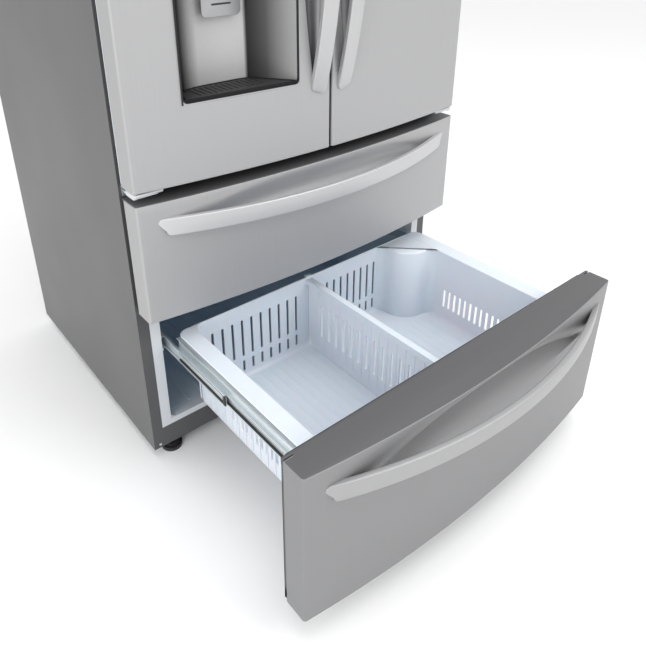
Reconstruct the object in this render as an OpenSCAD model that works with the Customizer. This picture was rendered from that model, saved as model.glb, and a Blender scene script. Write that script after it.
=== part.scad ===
// French door refrigerator: two doors over two drawers.
// X is the width, Y runs from the front (-Y) to the back (+Y), Z is up from the floor.
// The lower drawer stands open by drawer_open; everything else is closed.

/* [Cabinet] */
// Width over the side panels
cab_w = 908; // [900:1:916]
// Depth of the cabinet without its doors
cab_d = 736; // [730:1:745]
// Height of the cabinet's top sheet above the floor
cab_h = 1737; // [1730:1:1745]
// Height of the side panels' lower edge above the floor
base_z = 30; // [28:1:32]
// Thickness of the painted steel wrapper
sheet_t = 1.2; // [1:0.1:1.6]
// Width of the dark front flange strips
flange_w = 26; // [24:1:28]
// Top of the dark bottom rail
bottom_rail_top = 85; // [84:1:88]

/* [Doors and drawer fronts] */
// Distance from the cabinet's front plane to the front surface at the side edges
front_edge = 69; // [66:1:72]
// How far the fronts bow out at the middle of the width
front_bow = 34; // [28:1:38]
// Gap between the cabinet's front plane and the back of doors and drawer fronts
back_gap = 10; // [10:0.5:11]
// Gap between the two doors
door_gap = 6; // [5:0.5:7]
// Lower and upper edge of the doors
door_z = [720, 1750]; // [700:1:1760]
// Lower and upper edge of the upper drawer front
upper_z = [430, 693]; // [420:1:700]
// Lower and upper edge of the lower drawer front
lower_z = [75, 418]; // [70:1:425]
// Thickness of the stainless skins
skin_t = 1.2; // [1:0.1:1.6]
// How far the lower drawer is pulled out at rest
drawer_open = 500; // [400:10:520]

/* [Handles] */
// How far a handle strap stands out from the front at its middle
strap_out = 56; // [50:1:58]
// Thickness of a handle strap
strap_t = 12; // [10:1:14]
// Width of a handle strap
strap_w = 37; // [34:1:40]
// Half of the length of a drawer handle
drawer_strap_half = 412; // [400:1:415]
// Half of the length of a door handle
door_strap_half = 375; // [360:1:385]

/* [Dispenser] */
// Left and right edge of the dispenser opening
disp_x = [-346, -82]; // [-350:1:-80]
// Lower and upper edge of the dispenser opening
disp_z = [872, 1330]; // [860:1:1340]
// Height of the recess above the lower edge
recess_h = 330; // [310:5:340]

/* [Interior] */
// Distance from the cabinet's side to the liner wall
wall_t = 50; // [48:1:52]
// Depth of the fresh food compartment
fridge_depth = 672; // [660:1:676]
// Depth of the upper drawer compartment
drawer_depth = 520; // [510:5:540]
// Depth of the freezer compartment
freezer_depth = 600; // [590:5:610]
// Thickness of the plastic liners
liner_t = 3; // [2.5:0.5:3]

/* [Hidden] */
$fn = 48;

// Colours
steel_grey = [0.5, 0.5, 0.5];
dark_grey = [0.27, 0.27, 0.28];
stainless = [0.72, 0.72, 0.73];
liner_white = [0.92, 0.94, 0.96];
ice_white = [0.86, 0.9, 0.94];
zinc = [0.6, 0.66, 0.68];
glass_green = [0.75, 0.88, 0.86];
rubber_black = [0.06, 0.06, 0.06];

// Cabinet
half_w = cab_w / 2;
inner_x = half_w - wall_t;
strip_x = half_w - flange_w;
slack = 0.3;

// Bowed fronts: one arc through the side edges and the middle
front_mid = front_edge + front_bow;
bow_r = (half_w * half_w + front_bow * front_bow) / (2 * front_bow);
bow_cy = bow_r - front_mid;
skin_back = -19;
panel_back = -back_gap;
cap_t = 12;

// The origin is on the floor, in the middle of the whole part with its drawer open
front_reach = front_mid + strap_out + drawer_open;
centre_y = (cab_d - front_reach) / 2;

// Compartments, as [low, high] in Z
fridge_z = [735, 1695];
drawer_z = [443, 687];
freezer_z = [100, 400];
step_y = 475;
step_z = 290;
lip = 3;

// Machine compartment
machine_y = 510;
machine_top = 262;

// Hinges
pin_x = half_w - 20;
pin_y = -40;
pin_r = 6;
bore_r = pin_r + 0.05;

// Slides, as [near the wall, away from it] measured from the middle
rail_x = [396, 403.7];
mid_x = [390, 395.6];
member_x = [383.5, 389.6];
slide_len = 450;
lower_slide_z = [300, 332];
upper_slide_z = [560, 588];

// ---------------------------------------------------------------- helpers

// A box between [low, high] pairs
module block(x, y, z)
    translate([x[0], y[0], z[0]])
        cube([x[1] - x[0], y[1] - y[0], z[1] - z[0]]);

// Everything is drawn with Y = 0 at the cabinet's front plane, then moved to the origin
module place() translate([0, -centre_y, 0]) children();

// The same, for what is pulled out with the lower drawer
module pulled(share = 1) translate([0, -centre_y - drawer_open * share, 0]) children();

// The right-hand twin of what is drawn on the left
module both_sides() {
    children();
    mirror([1, 0, 0]) children();
}

// A panel behind the common bowed front, set back from it by a thickness
module bowed(x, back, z, set_back = 0)
    translate([0, 0, z[0]])
        linear_extrude(z[1] - z[0])
            intersection() {
                translate([0, bow_cy]) circle(r = bow_r - set_back, $fn = 512);
                translate([x[0], -front_mid - 5]) square([x[1] - x[0], front_mid + 5 + back]);
            }

// A long lens of revolution along Z, pointed at both ends
module lens(half_len, depth) {
    seg_r = (half_len * half_len + depth * depth) / (2 * depth);
    rotate_extrude($fn = 72)
        intersection() {
            translate([depth - seg_r, 0]) circle(r = seg_r, $fn = 512);
            translate([0, -half_len]) square([depth + 1, 2 * half_len]);
        }
}

// An open box with walls, a floor and no lid
module tray(x, y, z, wall, floor_t)
    difference() {
        block(x, y, z);
        block([x[0] + wall, x[1] - wall], [y[0] + wall, y[1] - wall], [z[0] + floor_t, z[1] + 1]);
    }

// A flat rectangular ring in the XZ plane
module ring(x, y, z, w)
    difference() {
        block(x, y, z);
        block([x[0] + w, x[1] - w], [y[0] - 1, y[1] + 1], [z[0] + w, z[1] - w]);
    }

// A fan with a hub and flat blades, turning about Z
module fan(r, blades) {
    cylinder(r = r * 0.28, h = 16);
    for (i = [0 : blades - 1])
        rotate([0, 0, i * 360 / blades])
            translate([r * 0.2, 0, 8])
                rotate([28, 0, 0])
                    translate([0, -r * 0.22, -1])
                        cube([r * 0.75, r * 0.44, 2]);
}

// ---------------------------------------------------------------- cabinet

module cabinet_shell()
    color(steel_grey) place()
        difference() {
            block([-half_w, half_w], [0, cab_d - sheet_t], [base_z, cab_h]);
            block([-half_w + sheet_t, half_w - sheet_t], [-1, cab_d], [base_z - 1, cab_h - sheet_t]);
        }

module back_panel()
    color(steel_grey) place()
        block([-half_w, half_w], [cab_d - sheet_t, cab_d], [machine_top + 8, cab_h]);

module front_frame()
    color(dark_grey) place() {
        both_sides()
            block([-half_w + sheet_t, -strip_x], [0, 2], [bottom_rail_top, cab_h - sheet_t]);
        block([-strip_x, strip_x], [0, 2], [fridge_z[1] + lip + 2, cab_h - sheet_t]);
        block([-strip_x, strip_x], [0, 28], [drawer_z[1] + lip, fridge_z[0] - lip]);
        block([-strip_x, strip_x], [0, 28], [freezer_z[1] + lip + 5, drawer_z[0] - lip]);
    }

module bottom_rail()
    color(dark_grey) place()
        difference() {
            block([-half_w + sheet_t, half_w - sheet_t], [0, 40], [base_z, bottom_rail_top]);
            block([-half_w + 4, half_w - 4], [2, 41], [base_z - 1, bottom_rail_top - 2]);
        }

// Outer form of a liner, which the foam leaves free
module liner_form(depth, z, grow = 0)
    block([-inner_x - liner_t - grow, inner_x + liner_t + grow], [0, depth + liner_t + grow],
        [z[0] - liner_t - grow, z[1] + liner_t + grow]);

// Step over the machine compartment at the back of the freezer
module freezer_step(grow)
    block([-half_w, half_w], [step_y + grow, freezer_depth + 10], [0, step_z - grow]);

module freezer_form(grow = 0)
    difference() {
        liner_form(freezer_depth, freezer_z, grow);
        freezer_step(grow + liner_t);
    }

module insulation()
    color([0.93, 0.86, 0.62]) place()
        difference() {
            block([-half_w + sheet_t, half_w - sheet_t], [2.3, cab_d - sheet_t], [bottom_rail_top, cab_h - sheet_t]);
            block([-half_w, half_w], [0, 28.3], [0, fridge_z[0] - lip]);
            liner_form(fridge_depth, fridge_z, slack);
            liner_form(drawer_depth, drawer_z, slack);
            freezer_form(slack);
            block([-half_w, half_w], [machine_y - 2, cab_d + 1], [0, machine_top + 8]);
        }

// Front flange of a liner, between the dark strips
module liner_flange(z)
    ring([-strip_x, strip_x], [0, 2], [z[0] - lip, z[1] + lip], strip_x - inner_x - 1);

module open_liner(depth, z)
    difference() {
        union() {
            liner_form(depth, z);
            block([-strip_x, strip_x], [0, 2], [z[0] - lip, z[1] + lip]);
        }
        block([-inner_x, inner_x], [-1, depth], z);
    }

// Height of each glass shelf, and whether it is split at the middle
shelf_levels = [1095, 1285, 1480];
shelf_y = [150, 645];
shelf_glass_t = 5;
crisper_cover_z = 912;

module shelf_ledge(z)
    both_sides()
        block([-inner_x - 1, -inner_x + 9], [shelf_y[0], shelf_y[1]], [z - 10, z]);

module fridge_liner()
    color(liner_white) place() {
        open_liner(fridge_depth, fridge_z);
        for (z = shelf_levels) shelf_ledge(z);
        shelf_ledge(crisper_cover_z);
        // Runners under the crispers
        for (x = [-inner_x + 10, -18, 8, inner_x - 20])
            block([x, x + 10], [crisper_y[0] - 10, crisper_y[1] + 10], [fridge_z[0] - 1, crisper_z[0] - 0.3]);
    }

module drawer_liner()
    color(liner_white) place()
        open_liner(drawer_depth, drawer_z);

module freezer_liner()
    color(liner_white) place() {
        difference() {
            union() {
                freezer_form();
                block([-strip_x, strip_x], [0, 2], [bottom_rail_top, freezer_z[1] + lip + 5]);
            }
            difference() {
                block([-inner_x, inner_x], [-1, freezer_depth], freezer_z);
                freezer_step(0);
            }
        }
    }

// ---------------------------------------------------------------- base and machine compartment

foot_x = 400;
foot_y = 22;
foot_r = 25;
stem_r = 6;
roller_y = 690;
roller_r = 22;
roller_w = 20;
axle_r = 5;

module foot_bracket()
    difference() {
        block([-foot_x - 24, -foot_x + 24], [3, 60], [36, 46]);
        translate([-foot_x, foot_y, 30]) cylinder(r = stem_r + 0.05, h = 30);
    }

module roller_bracket(x)
    for (ear = [x - roller_w / 2 - 5, x + roller_w / 2 + 2])
        difference() {
            block([ear, ear + 3], [roller_y - 16, roller_y + 16], [roller_r - 12, base_z + 2]);
            translate([ear - 1, roller_y, roller_r])
                rotate([0, 90, 0]) cylinder(r = axle_r + 0.05, h = 5);
        }

module base_pan()
    color(zinc) place() {
        // Bottom deck, riser and roof around the machine compartment
        block([-half_w + sheet_t, half_w - sheet_t], [41, machine_y - 2], [bottom_rail_top - 2, bottom_rail_top]);
        block([-half_w + sheet_t, half_w - sheet_t], [machine_y - 2, machine_y], [bottom_rail_top - 2, machine_top + 8]);
        block([-half_w + sheet_t, half_w - sheet_t], [machine_y - 2, cab_d - sheet_t], [machine_top + 6, machine_top + 8]);
        difference() {
            block([-half_w + 6, half_w - 6], [machine_y, cab_d - 4], [base_z, base_z + 2]);
            both_sides()
                block([-foot_x - 11, -foot_x + 11], [roller_y - 24, roller_y + 24], [base_z - 1, base_z + 3]);
        }
        both_sides() {
            block([-half_w + 4, -half_w + 6], [41, cab_d - 4], [base_z, bottom_rail_top - 1]);
            block([-half_w + 4, -foot_x - 24], [3, 60], [36, 46]);
            foot_bracket();
            roller_bracket(-foot_x);
        }
    }

module foot(side)
    color(rubber_black) place()
        translate([side * foot_x, foot_y, 0]) {
            cylinder(r = foot_r, h = 9);
            cylinder(r = 17, h = 16);
            cylinder(r = stem_r, h = 56);
        }

module left_foot() foot(-1);
module right_foot() foot(1);

// Both rollers on one axle
module rear_rollers()
    color(rubber_black) place()
        translate([-foot_x - roller_w, roller_y, roller_r])
            rotate([0, 90, 0]) {
                cylinder(r = axle_r, h = 2 * (foot_x + roller_w));
                for (x = [roller_w / 2, 2 * foot_x + roller_w / 2])
                    translate([0, 0, x]) cylinder(r = roller_r, h = roller_w);
            }

// Middle of the compressor in the machine compartment
comp_x = 250;
comp_y = 624;

module compressor()
    color([0.1, 0.1, 0.11]) place()
        translate([comp_x, comp_y, 0]) {
            for (a = [45 : 90 : 315])
                rotate([0, 0, a]) translate([82, 0, base_z + 2]) cylinder(r = 12, h = 14);
            translate([0, 0, base_z + 16]) cylinder(r = 96, h = 4);
            translate([0, 0, base_z + 20]) cylinder(r = 78, h = 110);
            translate([0, 0, base_z + 130])
                intersection() {
                    translate([0, 0, -60]) sphere(r = 98, $fn = 64);
                    cylinder(r = 78, h = 40);
                }
            translate([-60, -60, base_z + 60]) rotate([0, -90, 45]) cylinder(r = 4, h = 50);
        }

coil_x = [-360, -110];
coil_rows = 6;

module condenser()
    color([0.12, 0.12, 0.12]) place() {
        for (row = [0 : coil_rows - 1])
            for (col = [0, 1, 2])
                translate([coil_x[0], 534 + col * 50, 62 + row * 28])
                    rotate([0, 90, 0]) cylinder(r = 3, h = coil_x[1] - coil_x[0]);
        for (x = [coil_x[0], (coil_x[0] + coil_x[1]) / 2, coil_x[1]])
            block([x - 1, x + 1], [518, 650], [base_z + 2, 216]);
        // Motor of the fan, carried by the last plate
        translate([coil_x[1], comp_y - 30, fan_z]) rotate([0, 90, 0]) cylinder(r = 10, h = 24);
        translate([fan_x - 34, comp_y - 30, fan_z]) rotate([0, 90, 0]) cylinder(r = 26, h = 26);
        translate([fan_x - 10, comp_y - 30, fan_z]) rotate([0, 90, 0]) cylinder(r = 4, h = 18);
    }

fan_x = -60;
fan_z = 140;

module condenser_fan()
    color([0.2, 0.2, 0.22]) place()
        translate([fan_x, comp_y - 30, fan_z])
            rotate([0, 90, 0])
                difference() {
                    fan(80, 5);
                    translate([0, 0, -1]) cylinder(r = 4.05, h = 12);
                }

// Louvres in the rear cover
module machine_cover()
    color([0.2, 0.2, 0.21]) place() {
        difference() {
            block([-half_w + 4, half_w - 4], [cab_d - sheet_t, cab_d], [base_z + 4, machine_top + 6]);
            for (side = [-1, 1])
                for (row = [0 : 9])
                    translate([side * 210 - 110, cab_d - 3, 66 + row * 18]) cube([220, 6, 8]);
            translate([-inlet_x, cab_d - 3, inlet_z]) rotate([-90, 0, 0]) cylinder(r = 10, h = 6);
            translate([inlet_x, cab_d - 3, gland_z]) rotate([-90, 0, 0]) cylinder(r = 10, h = 6);
            for (x = cover_screw_x)
                translate([x, cab_d - 3, machine_top - 2]) rotate([-90, 0, 0]) cylinder(r = screw_r + 0.05, h = 6);
        }
    }

inlet_x = 380;
inlet_z = 200;
inlet_r = 5.5;
gland_z = 110;

// Water inlet: a quarter-turn body with a threaded socket
module water_inlet()
    color([0.75, 0.6, 0.3]) place()
        translate([-inlet_x, cab_d - 30, inlet_z])
            rotate([-90, 0, 0])
                difference() {
                    union() {
                        cylinder(r = 9, h = 30);
                        cylinder(r = 14, h = 10);
                    }
                    translate([0, 0, 10]) cylinder(r = inlet_r, h = 25);
                }

// Gland in the rear cover for the mains cord
module cord_gland()
    color([0.1, 0.1, 0.1]) place()
        translate([inlet_x, cab_d - 20, gland_z])
            rotate([-90, 0, 0])
                difference() {
                    union() {
                        cylinder(r = 9.8, h = 20);
                        cylinder(r = 14, h = 18);
                        translate([0, 0, -4]) cylinder(r = 12, h = 5);
                    }
                    translate([0, 0, -5]) cylinder(r = 5, h = 30);
                }

// ---------------------------------------------------------------- hinges

hinge_x = [-half_w + 6, -half_w + 54];
top_plate_z = 1752;
mid_plate_z = 705;

module hinge_brackets()
    color(zinc) place()
        both_sides() {
            block(hinge_x, [8, 90], [cab_h, top_plate_z]);
            block(hinge_x, [-58, 90], [top_plate_z, top_plate_z + 5]);
            translate([-pin_x, pin_y, door_z[1] - cap_t + 1]) cylinder(r = pin_r, h = cap_t + 6);
            block(hinge_x, [-3, 0], [mid_plate_z - 11, mid_plate_z + 11]);
            block(hinge_x, [-58, 0], [mid_plate_z, mid_plate_z + 5]);
            translate([-pin_x, pin_y, mid_plate_z]) cylinder(r = pin_r, h = door_z[0] + cap_t - mid_plate_z);
        }

module hinge_covers()
    color(dark_grey) place()
        both_sides()
            difference() {
                union() {
                    block([-half_w + 2, -half_w + 64], [-62, 98], [top_plate_z + 5.2, 1773]);
                    block([-half_w + 2, -half_w + 64], [4, 98], [cab_h, 1773]);
                }
                block([-half_w + 4, -half_w + 62], [6, 96], [cab_h - 1, 1770]);
                block([-half_w + 4, -half_w + 62], [-60, 7], [top_plate_z - 1, 1770]);
            }

// Hex-head screws: on the flange strips, hinge brackets and rear cover
screw_r = 3.2;
cover_screw_x = [-430, -220, 0, 220, 430];

module front_screw(x, z)
    translate([x, 0, z]) rotate([90, 0, 0]) cylinder(r = screw_r, h = 2, $fn = 24);

module frame_screws()
    color(zinc) place() {
        both_sides()
            front_screw(-half_w + 15, 41);
        both_sides()
            for (z = [mid_plate_z - 6, mid_plate_z + 9])
                translate([-half_w + 30, -3, z]) rotate([90, 0, 0]) cylinder(r = 1.8, h = 2, $fn = 24);
        for (x = cover_screw_x)
            translate([x, cab_d - sheet_t, machine_top - 2]) rotate([-90, 0, 0]) cylinder(r = screw_r, h = sheet_t);
    }

// ---------------------------------------------------------------- interior

module glass_shelves()
    color(glass_green) place() {
        for (z = shelf_levels)
            both_sides()
                block([-inner_x + 2, -6], shelf_y, [z, z + shelf_glass_t]);
        block([-inner_x + 2, inner_x - 2], shelf_y, [crisper_cover_z, crisper_cover_z + shelf_glass_t]);
    }

module duct_cover()
    color(liner_white) place()
        difference() {
            block([-150, 150], [fridge_depth - 22, fridge_depth], [940, 1650]);
            block([-146, 146], [fridge_depth - 18, fridge_depth + 1], [944, 1646]);
            for (z = [1000 : 160 : 1480])
                for (side = [-1, 1])
                    for (row = [0 : 3])
                        block([side * 90 - 40, side * 90 + 40], [fridge_depth - 23, fridge_depth - 17],
                            [z + 20 + row * 12, z + 26 + row * 12]);
            // Ladder slots for the shelf brackets
            for (z = shelf_levels)
                block([-20, 20], [fridge_depth - 23, fridge_depth - 17], [z - 30, z - 10]);
        }

evap_z = 345;
evap_r = 42;

module evaporator_cover()
    color(liner_white) place() {
        difference() {
            block([-320, 320], [freezer_depth - 40, freezer_depth], [step_z + 1, freezer_z[1] - 1]);
            block([-316, 316], [freezer_depth - 36, freezer_depth - 3], [step_z - 1, freezer_z[1] - 5]);
            for (row = [0 : 8])
                block([-40, 40], [freezer_depth - 41, freezer_depth - 35], [step_z + 14 + row * 10, step_z + 19 + row * 10]);
        }
        // Motor of the evaporator fan, on the rear wall of the cover
        translate([0, freezer_depth - 2, evap_z]) rotate([90, 0, 0]) cylinder(r = 4, h = 20);
    }

module evaporator_fan()
    color([0.85, 0.87, 0.9]) place()
        translate([0, freezer_depth - 8, evap_z])
            rotate([90, 0, 0])
                difference() {
                    fan(evap_r, 5);
                    translate([0, 0, -1]) cylinder(r = 4.05, h = 18.5);
                }

// Cabinet members of the four telescopic slides, with their front housings
module rail_pair(z, depth_start)
    both_sides() {
        block([-rail_x[1], -rail_x[0]], [depth_start, depth_start + slide_len], z);
        block([-inner_x, -rail_x[0]], [depth_start + 4, depth_start + 44], [z[0] - 33, z[1] + 2]);
    }

module slide_rails()
    color(zinc) place() {
        rail_pair(lower_slide_z, 5);
        rail_pair(upper_slide_z, 5);
    }

crisper_y = [150, 620];
crisper_z = [745, 901];

module crisper(side)
    color(ice_white) place() {
        x = side < 0 ? [-inner_x + 6, -5] : [5, inner_x - 6];
        difference() {
            tray(x, crisper_y, crisper_z, 3, 3);
            // Grip cut into the front's upper edge
            block([(x[0] + x[1]) / 2 - 70, (x[0] + x[1]) / 2 + 70], [crisper_y[0] - 1, crisper_y[0] + 4],
                [crisper_z[1] - 22, crisper_z[1] + 1]);
        }
    }

module left_crisper() crisper(-1);
module right_crisper() crisper(1);

// ---------------------------------------------------------------- doors

door_x = [-half_w, -door_gap / 2];
strap_x = [-17 - strap_w, -17];
scoop_x = -45;
scoop_y = -106;
scoop_r = 32;
handle_z = 1220;
dyke = [[-396, -382], [-58, -44]];
gasket_w = 16;
gasket_back = -0.5;

module door_scoop(grow = 0)
    translate([scoop_x, scoop_y, handle_z])
        rotate([0, 0, 90]) lens(door_strap_half - 4 + grow, scoop_r + grow);

// Stainless wrap of a door: open at the back, top and bottom, with the finger scoop pressed in
module door_skin()
    difference() {
        bowed(door_x, skin_back, door_z);
        door_scoop();
        difference() {
            bowed([door_x[0] + skin_t, door_x[1] - skin_t], 5, [door_z[0] - 1, door_z[1] + 1], skin_t);
            door_scoop(skin_t);
        }
    }

module disp_cut(grow = 0)
    block([disp_x[0] - grow, disp_x[1] + grow], [-front_mid - 20, skin_back + 30],
        [disp_z[0] - grow, disp_z[1] + grow]);

module left_door_skin()
    color(stainless) place()
        difference() {
            door_skin();
            disp_cut();
        }

module right_door_skin()
    color(stainless) place() mirror([1, 0, 0]) door_skin();

// Top and bottom end caps with the hinge bores
module door_caps()
    for (z = [door_z[0], door_z[1] - cap_t])
        difference() {
            bowed([door_x[0] + skin_t + 0.2, door_x[1] - skin_t - 0.2], skin_back, [z, z + cap_t], skin_t + 0.2);
            translate([-pin_x, pin_y, z - 1]) cylinder(r = bore_r, h = cap_t + 2);
        }

module left_door_caps() color(dark_grey) place() door_caps();
module right_door_caps() color(dark_grey) place() mirror([1, 0, 0]) door_caps();

// Inner plastic shell of a door with the two ribs that carry the bins
module door_liner() {
    edge = [door_x[0] + 3, door_x[1] - 3];
    difference() {
        block(edge, [skin_back + 0.2, panel_back], [door_z[0] + 3, door_z[1] - 3]);
        block([edge[0] + 3, edge[1] - 3], [skin_back - 1, panel_back - 3], [door_z[0] + 6, door_z[1] - 6]);
    }
    for (x = dyke)
        block(x, [panel_back - 1, 30], [750, 1680]);
}

mullion_x = -20;
mullion_y = 9.5;
mullion_r = 8;
mullion_reach = 50;
mullion_z = [753, 1680];

// Lug that carries a mullion pin, in line with the pin's axis
module mullion_lug(z)
    difference() {
        union() {
            block([-45, -30], [panel_back - 1, mullion_y + mullion_r], z);
            block([-42, mullion_x + mullion_r], [mullion_y - mullion_r, mullion_y + mullion_r], z);
        }
        translate([mullion_x, mullion_y, z[0] - 1]) cylinder(r = 3.05, h = z[1] - z[0] + 2);
    }

recess_back = -8;

module left_door_liner()
    color(liner_white) place() {
        difference() {
            union() {
                door_liner();
                block([disp_x[0] - 8, disp_x[1] + 8], [panel_back - 3, recess_back + 14],
                    [disp_z[0] - 14, disp_z[0] + recess_h + 14]);
            }
            block([disp_x[0] - 5, disp_x[1] + 5], [-60, recess_back + 11],
                [disp_z[0] - 11, disp_z[0] + recess_h + 11]);
        }
        mullion_lug([mullion_z[0] - 6, mullion_z[0] - 0.5]);
        mullion_lug([mullion_z[1] + 0.5, mullion_z[1] + 6]);
    }

module right_door_liner() color(liner_white) place() mirror([1, 0, 0]) door_liner();

module door_gasket()
    ring([-half_w + 18, -8], [panel_back, gasket_back], [door_z[0] + 6, cab_h - 9], gasket_w);

module left_door_gasket() color(rubber_black) place() door_gasket();
module right_door_gasket() color(rubber_black) place() mirror([1, 0, 0]) door_gasket();

// Arched strap: an arc in the YZ plane, ending on the door's front
module door_handle() {
    arch_r = (door_strap_half * door_strap_half + strap_out * strap_out) / (2 * strap_out);
    difference() {
        translate([strap_x[0], 0, handle_z])
            rotate([0, 90, 0])
                linear_extrude(strap_x[1] - strap_x[0])
                    translate([0, -front_mid - strap_out + arch_r])
                        difference() {
                            intersection() {
                                circle(r = arch_r, $fn = 512);
                                translate([3 - door_strap_half, -arch_r - 5])
                                    square([2 * door_strap_half - 6, strap_out + 6.2]);
                            }
                            circle(r = arch_r - strap_t, $fn = 512);
                        }
        bowed(door_x, 0, door_z);
    }
}

module left_door_handle() color(stainless) place() door_handle();
module right_door_handle() color(stainless) place() mirror([1, 0, 0]) door_handle();

bin_x = [-381.5, -58.5];
bin_h = 105;

module door_bin(z, back, reach)
    tray(bin_x, [back, reach], [z, z + bin_h], 3, 3);

module left_door_bins()
    color(ice_white) place() {
        door_bin(752, panel_back + 0.2, 92);
        door_bin(1060, recess_back + 14.2, 96);
    }

module right_door_bins()
    color(ice_white) place() mirror([1, 0, 0])
        for (z = [756, 960, 1180, 1400]) door_bin(z, panel_back + 0.2, 92);

module ice_room()
    color(liner_white) place()
        difference() {
            block([-381.5, -58.5], [panel_back + 0.2, 108], [1345, 1670]);
            block([-375, -65], [-4, 102], [1351, 1664]);
            block([-260, -180], [20, 80], [1340, 1355]);
        }

// ---------------------------------------------------------------- dispenser

// Plan of the recess: an open front narrowing to a flat back
module recess_plan(grow = 0)
    polygon([[disp_x[0] + 4 - grow, -140], [disp_x[0] + 4 - grow, -84], [disp_x[0] + 22 - grow, -44],
        [disp_x[0] + 52 - grow, recess_back - 4 + grow], [disp_x[0] + 62, recess_back + grow],
        [disp_x[1] - 78, recess_back + grow], [disp_x[1] - 66 + grow, recess_back - 4 + grow],
        [disp_x[1] - 26 + grow, -66], [disp_x[1] - 4 + grow, -94], [disp_x[1] - 4 + grow, -140]]);

recess_z = [disp_z[0] + 4, disp_z[0] + recess_h];

// Bezel, recess walls and the flat field for the controls above
module dispenser_housing()
    color([0.6, 0.6, 0.61]) place() {
        difference() {
            union() {
                bowed([disp_x[0] + 0.2, disp_x[1] - 0.2], -62, [disp_z[0] + 0.2, disp_z[1] - 0.2]);
                translate([0, 0, recess_z[0] - 3])
                    linear_extrude(recess_z[1] - recess_z[0] + 6)
                        intersection() {
                            recess_plan(3);
                            translate([disp_x[0] + 0.2, -63]) square([disp_x[1] - disp_x[0] - 0.4, 80]);
                        }
            }
            translate([0, 0, recess_z[0]])
                linear_extrude(recess_z[1] - recess_z[0])
                    recess_plan();
            block([disp_x[0] + 6, disp_x[1] - 6], [-88, -50], [recess_z[1] + 6, disp_z[1] - 6]);
        }
        // Ears for the paddle's pins, and the spouts
        for (x = [paddle_x[0] - 5, paddle_x[1] + 1])
            difference() {
                block([x, x + 4], [-24, recess_back + 1], [paddle_z[1] - 8, paddle_z[1] + 8]);
                translate([x - 1, paddle_y, paddle_z[1]]) rotate([0, 90, 0]) cylinder(r = 3.05, h = 6, $fn = 32);
            }
        translate([-212, -44, recess_z[1] - 22]) difference() {
            cylinder(r = 24, h = 24);
            translate([0, 0, -1]) cylinder(r = 20, h = 20);
        }
    }

module drip_tray()
    color(dark_grey) place()
        difference() {
            translate([0, 0, recess_z[0] + 0.2])
                linear_extrude(7)
                    intersection() {
                        recess_plan(-2);
                        translate([0, bow_cy]) circle(r = bow_r - 3, $fn = 512);
                    }
            for (i = [0 : 9])
                block([-300 + i * 16, -292 + i * 16], [-70, -20], [recess_z[0] + 4, recess_z[0] + 9]);
        }

paddle_x = [-256, -168];
paddle_y = -16;
paddle_z = [1012, 1124];

module dispenser_paddle()
    color([0.68, 0.68, 0.69]) place()
        difference() {
            union() {
                block(paddle_x, [-24, -19], [paddle_z[0], paddle_z[1] - 8]);
                block([paddle_x[0] + 20, paddle_x[1] - 20], [-22, -14], [paddle_z[1] - 16, paddle_z[1]]);
                translate([paddle_x[0] - 0.7, paddle_y, paddle_z[1]])
                    rotate([0, 90, 0]) cylinder(r = 5, h = paddle_x[1] - paddle_x[0] + 1.4, $fn = 32);
                translate([paddle_x[0] - 4.5, paddle_y, paddle_z[1]])
                    rotate([0, 90, 0]) cylinder(r = 3, h = paddle_x[1] - paddle_x[0] + 9, $fn = 32);
            }
            block([paddle_x[0] + 20, paddle_x[1] - 20], [-25, -22.5], [paddle_z[0] + 16, paddle_z[0] + 19]);
        }

// Flip mullion, folded back along the left door's edge
module mullion()
    color(liner_white) place() {
        translate([mullion_x, mullion_y, mullion_z[0]]) cylinder(r = mullion_r, h = mullion_z[1] - mullion_z[0]);
        block([mullion_x - mullion_r, mullion_x + mullion_r], [mullion_y, mullion_y + mullion_reach], mullion_z);
        translate([mullion_x, mullion_y, mullion_z[0] - 6]) cylinder(r = 3, h = mullion_z[1] - mullion_z[0] + 12);
    }

// ---------------------------------------------------------------- drawers

drawer_x = [-half_w, half_w];
drawer_scoop_y = -95;
drawer_scoop_r = 43;

module drawer_scoop(z, grow = 0)
    translate([0, drawer_scoop_y, z]) rotate([0, 90, 0]) lens(drawer_strap_half - 6 + grow, drawer_scoop_r + grow);

module drawer_skin(z, scoop_z)
    difference() {
        bowed(drawer_x, skin_back, z);
        drawer_scoop(scoop_z);
        difference() {
            bowed([drawer_x[0] + skin_t, drawer_x[1] - skin_t], 5, [z[0] - 1, z[1] + 1], skin_t);
            drawer_scoop(scoop_z, skin_t);
        }
    }

// Top and bottom end caps and the inner tray of a drawer front, in one frame
module drawer_caps(z, scoop_z) {
    difference() {
        union() {
            for (cap = [[z[0], z[0] + cap_t], [z[1] - 4, z[1]]])
                bowed([drawer_x[0] + skin_t + 0.2, drawer_x[1] - skin_t - 0.2], skin_back, cap, skin_t + 0.2);
        }
        drawer_scoop(scoop_z, skin_t + 0.2);
    }
    difference() {
        block([drawer_x[0] + 3, drawer_x[1] - 3], [skin_back, panel_back], z);
        block([drawer_x[0] + 6, drawer_x[1] - 6], [skin_back - 1, panel_back - 3], [z[0] + 3, z[1] - 3]);
    }
}

// Arched strap across a drawer: an arc in plan, ending on the bowed front
module drawer_handle(z) {
    chord = strap_out + front_bow * (drawer_strap_half * drawer_strap_half) / (half_w * half_w);
    arch_r = (drawer_strap_half * drawer_strap_half + chord * chord) / (2 * chord);
    translate([0, 0, z[0]])
        linear_extrude(z[1] - z[0])
            difference() {
                intersection() {
                    translate([0, arch_r - front_mid - strap_out]) circle(r = arch_r, $fn = 512);
                    translate([2 - drawer_strap_half, -front_mid - strap_out - 5])
                        square([2 * drawer_strap_half - 4, 110]);
                }
                translate([0, arch_r - front_mid - strap_out]) circle(r = arch_r - strap_t, $fn = 512);
                translate([0, bow_cy]) circle(r = bow_r, $fn = 512);
            }
}

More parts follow.
